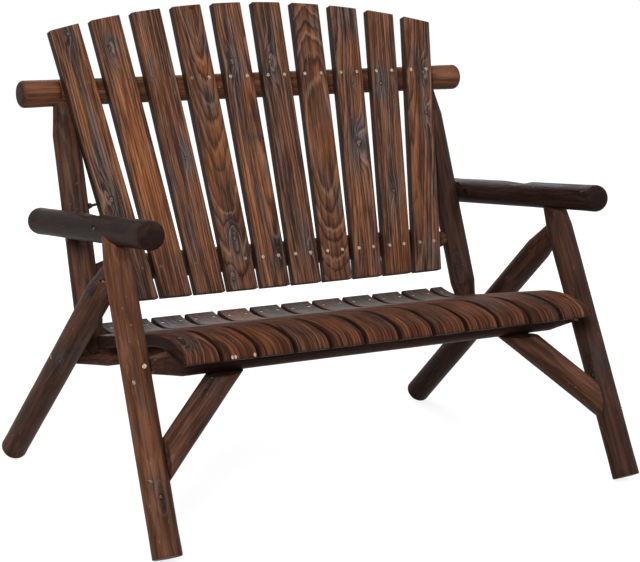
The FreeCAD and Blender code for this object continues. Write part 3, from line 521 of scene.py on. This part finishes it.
def back_slat(index, tree, section, material, look, bores):
    """One back slat: straight, cut along the foot line and along the arc of the tops."""
    number = index - BACK_MIDDLE
    angle = number * FAN
    foot_x = number * SLAT_PITCH
    along = Vector((math.sin(angle), 0, 0)) + BACK_UP * math.cos(angle)
    across = Vector((math.cos(angle), 0, 0)) - BACK_UP * math.sin(angle)
    foot = SLAT_FOOT + Vector((foot_x, 0, 0)) + BACK_DEPTH * (BACK_THICKNESS / 2)
    length = CROWN_RISE / math.cos(angle)
    near_end = [0.0, *NEAR_END, BACK_EDGE, BACK_CORNER]
    count = round((length - 2 * BACK_CORNER) / STEP)
    middle = [BACK_CORNER + (length - 2 * BACK_CORNER) * step / count for step in range(1, count)]
    stations = near_end + middle + [length - place for place in reversed(near_end)]
    line = polyline([foot + along * place for place in stations], stations)
    mesh = grown(line, tree, {"Section": section, "Across": across, "Finish": material})

    u = field(mesh, "station", 1)
    place = field(mesh, "section", 3)
    v, w = place[:, 0], place[:, 1]
    low = v * math.tan(angle)
    high = np.full_like(v, length)
    for _ in range(4):
        x = foot_x + high * math.sin(angle) + v * math.cos(angle)
        rise = CROWN_RISE - (CROWN_RADIUS - np.sqrt(CROWN_RADIUS ** 2 - x ** 2))
        high = (rise + v * math.sin(angle)) / math.cos(angle)
    margin = np.minimum(u, length - u)
    pinched = v * (1 - end_depth(margin, BACK_CORNER) / (SLAT_WIDTH / 2))
    pressed = np.maximum(w, end_depth(margin, BACK_EDGE) - BACK_THICKNESS / 2)
    points = positions(mesh)
    points += np.outer(low + u / length * (high - low) - u, along)
    points += np.outer(pinched - v, across) + np.outer(pressed - w, BACK_DEPTH)
    mesh.vertices.foreach_set("co", points.ravel())
    mesh = cut(mesh, [bores])

    offset = positions(mesh) - np.array(foot)
    u, v, w = offset @ np.array(along), offset @ np.array(across), offset @ np.array(BACK_DEPTH)
    set_board_fields(mesh, index, u, v, w, np.minimum(u - v * math.tan(angle), length - u), length, look)
    finished("back_slat_%02d_wood" % (index + 1), mesh, ["back_slat_%02d" % (index + 1)])


def set_board_fields(mesh, index, u, v, w, margin, length, look):
    """Grain, rings, knots and scorching of one board. Its look is in millimetres and shares."""
    middle = u - length * look.get("middle", 0.5)
    heart_v, heart_w, slope_v, slope_w, bow = look["heart"]
    dv = v - heart_v * MM - slope_v * middle
    dw = w - heart_w * MM - slope_w * middle - bow * MM * (middle / 0.3) ** 2
    set_field(mesh, "grain", np.stack([u + 3.1 * index, v + 0.37 * index, w], 1))
    set_field(mesh, "rings", np.stack([u, dv, dw], 1) * look.get("tight", 1.0))
    if "chips" in look:
        set_field(mesh, "chips", np.stack([u - look["chips"] * MM, v, np.zeros_like(u)], 1))
    knots = [(share * length, aside * MM, radius * MM) for share, aside, radius in look.get("knots", [])]
    set_knots(mesh, u, v, knots)
    stains = []
    for kind in ("char", "amber"):
        spots = [(share * length, aside * MM, reach * MM, wide * MM, strength)
                 for share, aside, reach, wide, strength in look[kind]]
        stains.append(np.clip(patches(u, v, spots) + look.get("all_" + kind, 0), 0, 1))
    side = SLAT_WIDTH / 2 - np.abs(v)
    edge = np.maximum(np.exp(-np.abs(side) / (1.5 * MM)), np.exp(-np.abs(margin) / (2 * MM)))
    set_field(mesh, "stain_and_shade", np.stack([*stains, np.maximum(0.8 * edge, look.get("tone_and_painted_shade", 0.0))], 1))


def bent_line(start, bends, offset):
    """Points of a bent line in the y-z plane, at an offset under it. It starts level, towards +y."""
    points = [start - Vector((0, 0, offset))]
    here, angle = start.copy(), 0.0
    for size, turn in bends:
        length = size if turn is None else abs(math.radians(turn)) * size
        count = max(1, round(length / (STEP if size > 2 * SEAT_THICKNESS else STEP / 2)))
        bend = 0.0 if turn is None else math.radians(turn) / count
        chord = size / count if turn is None else 2 * size * math.sin(abs(bend) / 2)
        for _ in range(count):
            here = here + Vector((0, math.cos(angle + bend / 2), math.sin(angle + bend / 2))) * chord
            angle += bend
            points.append(here + Vector((0, math.sin(angle), -math.cos(angle))) * offset)
    return points


def seat_line():
    """The seat slats' middle line, from the nose's lower end back to the rear end."""
    half = SEAT_THICKNESS / 2
    rear = bent_line(SEAT_CREST, SEAT_BENDS, half)
    flipped = bent_line(Vector((0, -SEAT_CREST.y, SEAT_CREST.z)), NOSE_BENDS, half)
    return [Vector((0, -point.y, point.z)) for point in reversed(flipped[1:])] + rear


def seat_slat(index, tree, section, material, look, line_points, cutters):
    """One seat slat: bent over the nose, and the outermost two notched for the posts."""
    x = (index - SEAT_MIDDLE) * SLAT_PITCH
    middle = np.array([tuple(point) for point in line_points])
    steps = np.linalg.norm(np.diff(middle, axis=0), axis=1)
    stations = np.concatenate([[0.0], np.cumsum(steps)])
    line = polyline([point + Vector((x, 0, 0)) for point in line_points], stations)
    mesh = grown(line, tree, {"Section": section, "Across": Vector((1, 0, 0)), "Finish": material})
    mesh = cut(mesh, cutters)

    points = positions(mesh)
    starts, ways = middle[:-1, 1:], np.diff(middle[:, 1:], axis=0) / steps[:, None]
    offset = points[:, None, 1:] - starts[None]
    reach = np.clip((offset * ways[None]).sum(2), 0, steps[None])
    gap = np.linalg.norm(offset - reach[:, :, None] * ways[None], axis=2)
    nearest = gap.argmin(1)
    rows = np.arange(len(points))
    u = stations[nearest] + reach[rows, nearest]
    side = ways[nearest]
    w = offset[rows, nearest, 0] * side[:, 1] - offset[rows, nearest, 1] * side[:, 0]
    v = points[:, 0] - x
    length = stations[-1]
    set_board_fields(mesh, index + SEAT_SEED, u, v, w, np.minimum(u, length - u), length, look)
    finished("seat_slat_%02d_wood" % (index + 1), mesh, ["seat_slat_%02d" % (index + 1)])


def notch_cutter(side):
    """The block that takes away an outermost seat slat's rear outer corner."""
    body = bmesh.new()
    bmesh.ops.create_cube(body, size=NOTCH_BLOCK)
    half = NOTCH_BLOCK / 2
    centre = (side * (NOTCH_X + half), NOTCH_Y + half, 0.3)
    bmesh.ops.translate(body, verts=body.verts, vec=centre)
    mesh = bpy.data.meshes.new("notch")
    body.to_mesh(mesh)
    body.free()
    return placed("notch", mesh)


def sliced_copy(node, start, along, length):
    """A copy of a log's mesh, merged, and cut across its axis into short lengths."""
    body = bmesh.new()
    body.from_mesh(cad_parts[node].data)
    bmesh.ops.remove_doubles(body, verts=body.verts, dist=1e-6)
    count = round(length / LOG_SLICE)
    near_end = [2 * MM, 6 * MM]
    places = [length * step / count for step in range(1, count)] + near_end + [length - p for p in near_end]
    for place in places:
        everything = list(body.verts) + list(body.edges) + list(body.faces)
        bmesh.ops.bisect_plane(body, geom=everything, plane_co=start + along * place,
                               plane_no=along, dist=1e-6)
    mesh = bpy.data.meshes.new(node)
    body.to_mesh(mesh)
    body.free()
    return mesh


def round_log(node, start, end, tree, material, seed, look):
    """One log: the model's shape, made slightly uneven, with grain along its axis."""
    start, end = np.array(start) * MM, np.array(end) * MM
    length = np.linalg.norm(end - start)
    along = (end - start) / length
    side = np.cross(along, (0.0, 1.0, 0.12))
    side /= np.linalg.norm(side)
    back = np.cross(side, along)
    mesh = sliced_copy(node, start, along, length)
    offset = positions(mesh) - start
    u, v, w = offset @ along, offset @ side, offset @ back
    set_field(mesh, "grain", np.stack([u + 2.3 * seed, v, w + 0.41 * seed], 1))
    random = np.random.default_rng(seed)
    heart = random.uniform(-5, 5, 2) * MM
    bow = random.uniform(-5, 5, 2) * MM * np.sin(np.outer(u / length, (1, 1)) * math.pi)
    set_field(mesh, "rings", np.stack([u, v - heart[0] - bow[:, 0], w - heart[1] - bow[:, 1]], 1))
    for label in ("knot_a", "knot_b"):
        place = random.uniform(0.15, 0.85) * length
        turn = random.uniform(-math.pi, math.pi)
        size = random.uniform(4, 7) * MM
        outward = v * math.cos(turn) + w * math.sin(turn)
        aside = w * math.cos(turn) - v * math.sin(turn)
        far_side = np.where(outward > 0, size, 0.4 * MM)
        set_field(mesh, label, np.stack([u - place, aside, far_side], 1))
    ends = np.minimum(u, length - u)
    set_field(mesh, "loose", np.clip((ends - HELD_END) / HELD_END, 0, 1))
    # Painted shade: the dark side darkens the side of a log that faces away from the light or lies under the
    # seat's nose, and the tone darkens the whole log where less light reaches it.
    shade_way, dark = look.get("painted_shade_side", (0.0, 0.0))
    facing = (v * math.cos(math.radians(shade_way)) + w * math.sin(math.radians(shade_way))) / LOG_RADIUS
    shade = look.get("tone_and_painted_shade", 0.0) + dark * np.clip(facing * 0.7 + 0.3, 0, 1)
    shade += look.get("foot", 0.0) * np.clip(1 - u / (0.6 * length), 0, 1)
    # The soot layer carries the charred ends and, added to them, this painted shade.
    edge = np.clip(0.7 * np.exp(-np.maximum(ends, 0) / CHARRED_END) + shade, 0, 0.92)
    amber = np.full_like(u, look.get("all_amber", 0.0))
    set_field(mesh, "stain_and_shade", np.stack([np.zeros_like(u), amber, edge], 1))
    mesh = grown(mesh, tree, {"Unevenness": UNEVENNESS, "Wave Length": UNEVEN_WAVE, "Seed": float(seed),
                              "Finish": material})
    finished(node + "_wood", mesh, [node])


def screw_mesh(length, radius, head_radius, head_depth):
    """A countersunk screw, pointing up, with a cross-shaped recess in its head."""
    segments = 24
    rings = [
        (0.12 * head_radius, 0.42 * head_depth),
        (0.50 * head_radius, 0.28 * head_depth),
        (0.62 * head_radius, 0.0),
        (0.90 * head_radius, 0.0),
        (head_radius, 0.10 * head_depth),
        (radius, head_depth),
        (radius, length - SCREW_POINT),
    ]
    points, faces = [(0, 0, 0.45 * head_depth)], []
    for number, (ring_radius, depth) in enumerate(rings):
        for step in range(segments):
            angle = 2 * math.pi * step / segments
            in_arm = step % 6 == 0
            z = depth if number != 1 or in_arm else 0.0
            reach = ring_radius if number != 1 or in_arm else 0.2 * head_radius
            points.append((reach * math.cos(angle), reach * math.sin(angle), z))
    points.append((0, 0, length))
    for step in range(segments):
        after = (step + 1) % segments
        faces.append((0, 1 + after, 1 + step))
        for number in range(len(rings) - 1):
            low = 1 + number * segments
            faces.append((low + step, low + after, low + segments + after, low + segments + step))
        last = 1 + (len(rings) - 1) * segments
        faces.append((last + step, last + after, len(points) - 1))
    mesh = new_mesh("screw", points, [], faces)
    # the shank is soiled all over, where a joint's gap lets it show
    set_field(mesh, "shank", np.array([0.0] * (1 + 5 * segments) + [0.95] * (2 * segments + 1)))
    body = bmesh.new()
    body.from_mesh(mesh)
    bmesh.ops.recalc_face_normals(body, faces=body.faces)
    body.to_mesh(mesh)
    body.free()
    return placed("screw", mesh)


def screw_places(node):
    """Each screw of a node: its head's middle, its aim and its length in mm, from the model's solids."""
    body = bmesh.new()
    body.from_mesh(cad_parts[node].data)
    bmesh.ops.remove_doubles(body, verts=body.verts, dist=1e-6)
    left = set(body.verts)
    places = []
    while left:
        reached = [left.pop()]
        group = []
        while reached:
            vertex = reached.pop()
            group.append(vertex.co.copy())
            for edge in vertex.link_edges:
                other = edge.other_vert(vertex)
                if other in left:
                    left.remove(other)
                    reached.append(other)
        points = np.array(group)
        far_end = points[np.argmax(np.linalg.norm(points - points.mean(0), axis=1))]
        other_end = points[np.argmax(np.linalg.norm(points - far_end, axis=1))]
        axis = (other_end - far_end) / np.linalg.norm(other_end - far_end)
        reach = (points - far_end) @ axis
        spreads = []
        for end, close in ((far_end, reach < SCREW_END), (other_end, reach > reach.max() - SCREW_END)):
            spreads.append(np.linalg.norm(points[close] - end, axis=1).max())
        tip = far_end if spreads[0] < spreads[1] else other_end
        away = np.linalg.norm(points - tip, axis=1)
        head = points[away > away.max() - 0.05 * MM].mean(0)
        length = np.linalg.norm(tip - head)
        places.append((head, (tip - head) / length, round(length / MM)))
    body.free()
    places.sort(key=lambda place: tuple(np.round(place[0], 4)))
    return places


def driven(name, nodes, tree, make, shape, material):
    """One mesh of the screws of these nodes, or of the holes for them."""
    random = np.random.default_rng(7)
    places = [place for node in nodes for place in screw_places(node)]
    heads = np.array([head for head, _, _ in places])
    aims = np.array([aim for _, aim, _ in places])
    lengths = np.array([length for _, _, length in places])
    turns = random.uniform(0, math.pi / 2, len(places))
    # the heads in the back's left half are soiled, the lower ones more
    soil = np.clip((-heads[:, 0] - np.where(heads[:, 2] > UPPER_ROW, 0.09, 0.05)) / 0.1, 0, 0.92)
    soil = np.maximum(np.where(heads[:, 2] > SEAT_TOP, soil, 0), random.uniform(0, 0.35, len(places)))
    body = bmesh.new()
    for length in sorted(set(lengths)):
        these = lengths == length
        mesh = new_mesh(name, [tuple(head) for head in heads[these]], [], [])
        set_field(mesh, "aim", aims[these])
        set_field(mesh, "turn", turns[these])
        set_field(mesh, "soil", soil[these])
        screw = make(float(length) * MM, *shape)
        group = grown(mesh, tree, {"Screw": screw, "Finish": material})
        body.from_mesh(group)
        bpy.data.objects.remove(screw)
        bpy.data.meshes.remove(group)
    result = bpy.data.meshes.new(name)
    body.to_mesh(result)
    body.free()
    result.materials.append(material)
    return result


def bore_mesh(length, radius, head_radius, head_depth):
    """The hole for a screw, with a fine gap round it and the way in above its head."""
    wide, narrow = head_radius + BORE_GAP, radius + BORE_GAP
    rings = [(wide, -POCKET), (wide, 0), (narrow, head_depth), (narrow, length)]
    segments = 20
    points, faces = [], []
    for ring_radius, depth in rings:
        for step in range(segments):
            angle = 2 * math.pi * step / segments
            points.append((ring_radius * math.cos(angle), ring_radius * math.sin(angle), depth))
    for step in range(segments):
        after = (step + 1) % segments
        for low in range(0, segments * (len(rings) - 1), segments):
            faces.append((low + step, low + after, low + segments + after, low + segments + step))
    faces.append(tuple(reversed(range(segments))))
    faces.append(tuple(range(segments * (len(rings) - 1), segments * len(rings))))
    return placed("bore", new_mesh("bore", points, [], faces))


def bores_for(nodes, tree):
    """The holes of the slats' screws, as one cutter."""
    return placed("bores", driven("bores", nodes, tree, bore_mesh, SLAT_SCREW, None))


# Looks of the back slats, left to right. Hearts: mm beside and behind the board's middle, the
# slopes of both, and a bow. Knots: share of the length from the foot, mm aside, radius in mm.
# Scorched and amber spots: share of the length, mm aside, reach along and across in mm, strength.
BACK_LOOKS = [
    {"heart": (48, 30, 0.02, 0.02, 0), "tone_and_painted_shade": 0.06, "knots": [(0.34, -6, 9), (0.90, 4, 6)],
     "char": [(0.62, 2, 150, 6, 0.9), (0.88, 4, 60, 9, 0.7), (0.34, -4, 60, 20, 0.8),
              (0.08, -5, 60, 30, 0.6)],
     "amber": [(0.45, 24, 200, 7, 0.6), (0.6, -22, 120, 6, 0.3)]},
    {"heart": (-55, 26, 0.01, 0.0, 0), "tone_and_painted_shade": 0.04, "knots": [(0.85, -8, 7)],
     "char": [(0.86, 10, 22, 18, 0.5), (0.60, -32, 40, 7, 0.8), (0.53, 33, 50, 6, 0.9),
              (0.1, 15, 30, 20, 0.4)],
     "amber": [(0.55, 2, 180, 26, 0.75), (0.3, -10, 120, 20, 0.5), (0.95, 0, 60, 30, 0.35)]},
    {"heart": (70, 40, 0.0, 0.01, 0), "tight": 1.35, "knots": [(0.46, 12, 5)],
     "char": [(0.46, 14, 40, 16, 0.6), (0.22, -14, 90, 14, 0.6), (0.8, 25, 90, 10, 0.35)],
     "amber": [(0.14, 14, 90, 9, 0.9), (0.75, -14, 120, 14, 0.3)]},
    {"heart": (4, 46, 0.02, -0.11, 0), "tone_and_painted_shade": 0.14, "knots": [(0.18, 2, 7), (0.04, -20, 5)],
     "char": [(0.85, 26, 26, 9, 1.0), (0.66, 8, 38, 15, 1.0), (0.2, -2, 40, 10, 0.8), (0.93, -6, 90, 8, 0.5)],
     "amber": [(0.77, 12, 34, 10, 1.0), (0.5, 6, 70, 20, 0.4), (0.40, 24, 120, 7, 0.4)]},
    {"heart": (34, 40, 0.03, -0.04, 0), "knots": [(0.79, -10, 8), (0.10, 22, 5)],
     "char": [(0.78, -4, 26, 26, 0.8), (0.66, -14, 80, 8, 0.9), (0.93, -2, 34, 9, 0.7),
              (0.52, 10, 8, 24, 0.8), (0.28, -2, 60, 8, 0.5)],
     "amber": [(0.66, 14, 78, 9, 1.0), (0.36, 22, 110, 7, 0.8), (0.3, -22, 110, 7, 0.6)]},
    {"heart": (-48, 44, 0.0, 0.03, 0), "tone_and_painted_shade": 0.14, "knots": [(0.78, -12, 8), (0.12, 14, 5)],
     "char": [(0.90, -2, 50, 20, 0.5), (0.78, -10, 30, 16, 0.6), (0.5, -24, 130, 9, 0.5),
              (0.2, 0, 60, 30, 0.35)],
     "amber": [(0.82, 22, 60, 8, 0.8), (0.34, 14, 90, 8, 0.5)], "all_char": 0.12},
    {"heart": (0, 58, 0.0, 0.0, 30), "tone_and_painted_shade": 0.12, "middle": 0.52, "knots": [],
     "char": [(0.60, 18, 40, 5, 0.6), (0.9, -26, 80, 8, 0.4)],
     "amber": [(0.46, 10, 30, 12, 0.35), (0.86, 4, 60, 10, 0.3)]},
    {"heart": (-40, 34, 0.02, -0.03, 0), "knots": [(0.48, 6, 11), (0.70, 6, 5)],
     "char": [(0.93, 9, 52, 32, 1.0), (0.95, 14, 30, 24, 0.6), (0.48, 8, 44, 22, 1.0),
              (0.10, 22, 60, 14, 0.5)],
     "amber": [(0.70, 14, 90, 9, 1.0), (0.56, 4, 40, 8, 0.7), (0.25, -4, 90, 16, 0.4)]},
    {"heart": (60, 30, 0.0, 0.02, 0), "tight": 1.25, "knots": [(0.69, -12, 6), (0.30, 0, 6)],
     "char": [(0.70, -8, 26, 26, 0.9), (0.50, 4, 90, 5, 0.9), (0.30, 0, 30, 12, 0.6)],
     "amber": [(0.88, -20, 60, 12, 0.3), (0.08, 0, 40, 24, 0.4)]},
    {"heart": (-34, 50, 0.0, -0.05, 0), "knots": [(0.58, 14, 6), (0.73, 12, 7)],
     "char": [(0.90, 28, 60, 9, 0.9), (0.72, 12, 22, 18, 0.6), (0.57, 15, 46, 7, 0.9), (0.33, 26, 60, 9, 0.8),
              (0.06, 8, 60, 34, 0.7)],
     "amber": [(0.80, -10, 90, 16, 0.35), (0.45, -14, 120, 12, 0.35)]},
]

# Looks of the seat slats, left to right. The share of the length counts from the nose's lower end.
# Painted shade on the seat slats' rear ends, under the foot of the back, laid on through the char layer.
REAR_PAINTED_SHADE = (0.93, 0, 130, 60, 0.75)
SEAT_LOOKS = [
    {"heart": (30, 30, 0.05, 0.05, 0), "knots": [(0.16, -10, 10)],
     "char": [(0.10, -6, 24, 16, 0.8), REAR_PAINTED_SHADE], "amber": [(0.16, -22, 30, 12, 0.9)]},
    {"heart": (-44, 30, -0.05, 0.02, 0), "chips": 4.0, "char": [REAR_PAINTED_SHADE],
     "amber": [(0.1, 22, 50, 9, 0.5)]},
    {"heart": (-60, 60, 0.0, 0.05, 0), "tone_and_painted_shade": 0.25, "tight": 0.7, "char": [REAR_PAINTED_SHADE],
     "amber": [(0.12, 0, 70, 26, 0.75)]},
    {"heart": (46, 34, 0.04, 0.02, 0), "char": [(0.1, -28, 50, 9, 0.8), REAR_PAINTED_SHADE], "amber": []},
    {"heart": (-50, 28, -0.03, 0.02, 0), "char": [],
     "amber": [(0.1, 4, 60, 30, 0.3), (0.93, 0, 60, 40, 0.7)]},
    {"heart": (50, 30, 0.02, 0.02, 0), "tone_and_painted_shade": 0.15, "char": [(0.1, 26, 50, 10, 0.5), REAR_PAINTED_SHADE],
     "amber": []},
    {"heart": (-42, 34, 0.04, 0.0, 0), "char": [REAR_PAINTED_SHADE], "amber": [(0.14, -18, 60, 10, 0.6)]},
    {"heart": (38, 28, -0.05, 0.02, 0), "char": [(0.12, 4, 50, 8, 0.4), REAR_PAINTED_SHADE],
     "amber": [(0.08, 24, 40, 9, 0.4)]},
    {"heart": (-52, 30, 0.02, 0.03, 0), "tone_and_painted_shade": 0.1, "tight": 0.8, "char": [REAR_PAINTED_SHADE],
     "amber": [(0.12, 8, 60, 24, 0.5)]},
    {"heart": (40, 32, 0.03, 0.02, 0), "char": [(0.1, -26, 50, 8, 0.5), REAR_PAINTED_SHADE],
     "amber": [(0.1, 10, 50, 10, 0.3)]},
    {"heart": (-36, 30, -0.04, 0.02, 0), "tone_and_painted_shade": 0.12, "char": [(0.1, 24, 60, 11, 0.9), REAR_PAINTED_SHADE],
     "amber": [(0.12, -16, 50, 12, 0.4)]},
    {"heart": (42, 26, 0.04, 0.03, 0), "char": [(0.08, 14, 24, 8, 0.5), REAR_PAINTED_SHADE],
     "amber": [(0.08, 26, 30, 9, 0.8), (0.1, -8, 50, 10, 0.5)]},
]


def make_boards():
    """The slats of the back and of the seat."""
    tree = board_tree()
    holes = screw_tree()
    material = scorched_fir("scorched_brushed_fir_board", BACK_LOOK)
    section = board_section(SLAT_WIDTH, BACK_THICKNESS, BACK_EDGE, BACK_REAR_EDGE)
    bores = bores_for(["back_slat_screws_upper", "back_slat_screws_lower"], holes)
    for index, look in enumerate(BACK_LOOKS):
        back_slat(index, tree, section, material, look, bores)
    bpy.data.objects.remove(bores)
    bpy.data.objects.remove(section)
    material = scorched_fir("scorched_brushed_fir_seat", SEAT_LOOK)
    section = board_section(SLAT_WIDTH, SEAT_THICKNESS, SEAT_EDGE, SEAT_EDGE)
    bores = bores_for(["seat_slat_screws_rear"], holes)
    points = seat_line()
    for index, look in enumerate(SEAT_LOOKS):
        cutters = [bores]
        if index in (0, len(SEAT_LOOKS) - 1):
            cutters.append(notch_cutter(-1 if index == 0 else 1))
        seat_slat(index, tree, section, material, look, points, cutters)
        for cutter in cutters[1:]:
            bpy.data.objects.remove(cutter)
    bpy.data.objects.remove(bores)
    bpy.data.objects.remove(section)


def make_logs():
    """The round logs: pairs at the sides, then those that run across."""
    tree = log_tree()
    log_wood = scorched_fir("scorched_fir_round", LOG_LOOK)
    arm_wood = scorched_fir("scorched_fir_armrest", ARMREST_LOOK)
    seed = 1
    for node, (start, end) in SIDE_LOGS.items():
        wood, slot = (arm_wood, "armrest_wood") if node == "armrest" else (log_wood, "log_wood")
        for side, name in ((1, "_right"), (-1, "_left")):
            first = (side * start[0], *start[1:])
            last = (side * end[0], *end[1:])
            round_log(node + name, first, last, tree, wood, seed, LOG_LOOKS.get(node + name, {}))
            seed += 1
    for node, (start, end) in CROSS_LOGS.items():
        round_log(node, start, end, tree, log_wood, seed, LOG_LOOKS.get(node, {}))
        seed += 1


# Looks of the logs: a dark side is painted shade, the way that the shaded side faces in degrees and
# how dark it is; a tone is painted shade that darkens a log all over where less light reaches it, most
# on the right-hand side; and a foot darkens it towards its lower end.
LOG_LOOKS = {
    # painted shade on the front left leg's inner side, which faces the bench and gets less light
    "front_leg_left": {"all_amber": 0.4, "foot": 0.2, "painted_shade_side": (180.0, 0.45)},
    "front_leg_right": {"tone_and_painted_shade": 0.58},
    "rear_leg_right": {"tone_and_painted_shade": 0.55},
    "rear_leg_left": {"tone_and_painted_shade": 0.18},
    "back_post_right": {"tone_and_painted_shade": 0.62},
    "back_post_left": {"tone_and_painted_shade": 0.28},
    "armrest_right": {"tone_and_painted_shade": 0.22},
    "brace_right": {"tone_and_painted_shade": 0.15},
    "brace_left": {"tone_and_painted_shade": 0.10},
    # painted shade on the front face of the front seat rail, under the seat's nose
    "front_seat_rail": {"painted_shade_side": (-90.0, 0.7)},
    "top_rail": {"all_amber": 0.45},
}


def make_fasteners():
    """The screws, and the finish of the bolts."""
    tree = screw_tree()
    # zinc-plated steel, dulled by weather: pale, grey-yellow
    zinc = steel("zinc_plated_screw_steel", "#c9b9a3", "#927f6a", 1.6, 0.45, 0.5)
    # plain steel, dark with oil and a little rust
    dark = steel("oiled_dark_bolt_steel", "#4a4644", "#43302a", 3.0, 0.42, 0.9)
    groups = {
        "slat_screws": (["back_slat_screws_upper", "back_slat_screws_lower",
                         "seat_slat_screws_rear"], SLAT_SCREW),
        "seat_screws_from_below": (["seat_slat_screws_front"], SLAT_SCREW),
        "joint_screws": (["front_rail_screws", "rear_rail_screws", "leg_screws", "brace_screws",
                          "armrest_screws", "post_screws", "lower_back_rail_screws"], JOINT_SCREW),
    }
    for name, (nodes, shape) in groups.items():
        finished(name, driven(name, nodes, tree, screw_mesh, shape, zinc), nodes)
    for node in ("armrest_bolts", "armrest_nuts", "armrest_washers"):
        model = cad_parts[node]
        model.data.materials.clear()
        model.data.materials.append(dark)


# Stage

FLOOR_HALF = 12.0


def seen_directly(tree):
    """1 for the camera's own rays and for what shines back, 0 for the rays that light the bench."""
    path = add(tree, "ShaderNodeLightPath").outputs
    seen = add(tree, MATH, [path["Is Camera Ray"], path["Is Glossy Ray"]], operation="MAXIMUM")
    return add(tree, MATH, [seen, path["Is Transmission Ray"]], operation="MAXIMUM")


def make_floor():
    """A pale floor that shows white to the camera and keeps the bench's shadow."""
    corners = [(x * FLOOR_HALF, y * FLOOR_HALF, 0) for x, y in ((-1, -1), (1, -1), (1, 1), (-1, 1))]
    mesh = new_mesh("floor", corners, [], [(0, 1, 2, 3)])
    floor = placed("floor", mesh)
    material, tree = new_material("pale_floor")
    seen = seen_directly(tree)
    away = add(tree, VECTOR, [add(tree, "ShaderNodeTexCoord").outputs["Object"]], operation="LENGTH")
    level = add(tree, MAP, [away, 1.0, 3.0, 0.84, 0.97], interpolation_type="SMOOTHSTEP")
    shown = add(tree, MATH, [seen, level], operation="MULTIPLY")
    matt = add(tree, "ShaderNodeBsdfDiffuse", {"Color": srgb("#9a9a9a")})
    glow = add(tree, "ShaderNodeEmission", {"Color": (1, 1, 1, 1), "Strength": shown})
    add(tree, "ShaderNodeOutputMaterial", {"Surface": add(tree, "ShaderNodeAddShader", [matt, glow])})
    mesh.materials.append(material)


def make_world():
    """Soft light from all round, that looks white to the camera."""
    world = bpy.data.worlds.new("studio")
    bpy.context.scene.world = world
    world.use_nodes = True
    tree = world.node_tree
    tree.nodes.clear()
    seen = seen_directly(tree)
    level = add(tree, MAP, [seen, 0.0, 1.0, 0.24, 1.0])
    sky = add(tree, "ShaderNodeBackground", {"Color": (1, 1, 1, 1), "Strength": level})
    add(tree, "ShaderNodeOutputWorld", {"Surface": sky})


# Lamps: name, place, what each points at, metres across, watts
LAMPS = [
    ("key", (-2.4, -3.0, 2.3), (0, 0, 0.45), 1.5, 136),
    ("fill", (2.8, -2.6, 2.0), (0, 0, 0.45), 2.0, 45),
    ("top", (0.2, 0.4, 3.4), (0, 0, 0.4), 2.0, 22),
    ("rear", (1.4, 3.4, 2.0), (0, 0, 0.5), 2.0, 60),
]
CAMERA_PLACE = (-1.8575, -3.3343, 1.1214)
CAMERA_RIGHT = (0.8717, -0.4900, 0.0)
CAMERA_FORWARD = (0.4819, 0.8573, -0.1810)


def add_lamp(name, place, target, size, power):
    """A round soft lamp."""
    lamp = bpy.data.lights.new(name, "AREA")
    lamp.shape = "DISK"
    lamp.size = size
    lamp.energy = power
    holder = placed(name, lamp)
    holder.location = place
    holder.rotation_euler = (Vector(target) - Vector(place)).to_track_quat("-Z", "Y").to_euler()


def make_camera():
    """The photograph's own place and angle."""
    data = bpy.data.cameras.new("camera")
    data.sensor_width = 36
    data.lens = 101.51
    camera = placed("camera", data)
    right = Vector(CAMERA_RIGHT).normalized()
    forward = Vector(CAMERA_FORWARD).normalized()
    up = right.cross(forward).normalized()
    turn = Matrix((right, up, -forward)).transposed().to_4x4()
    camera.matrix_world = Matrix.Translation(CAMERA_PLACE) @ turn
    data.clip_end = 100
    bpy.context.scene.camera = camera


make_camera()
make_world()
make_floor()
for lamp in LAMPS:
    add_lamp(*lamp)
bpy.context.scene.view_settings.view_transform = "Standard"
make_boards()
make_logs()
make_fasteners()
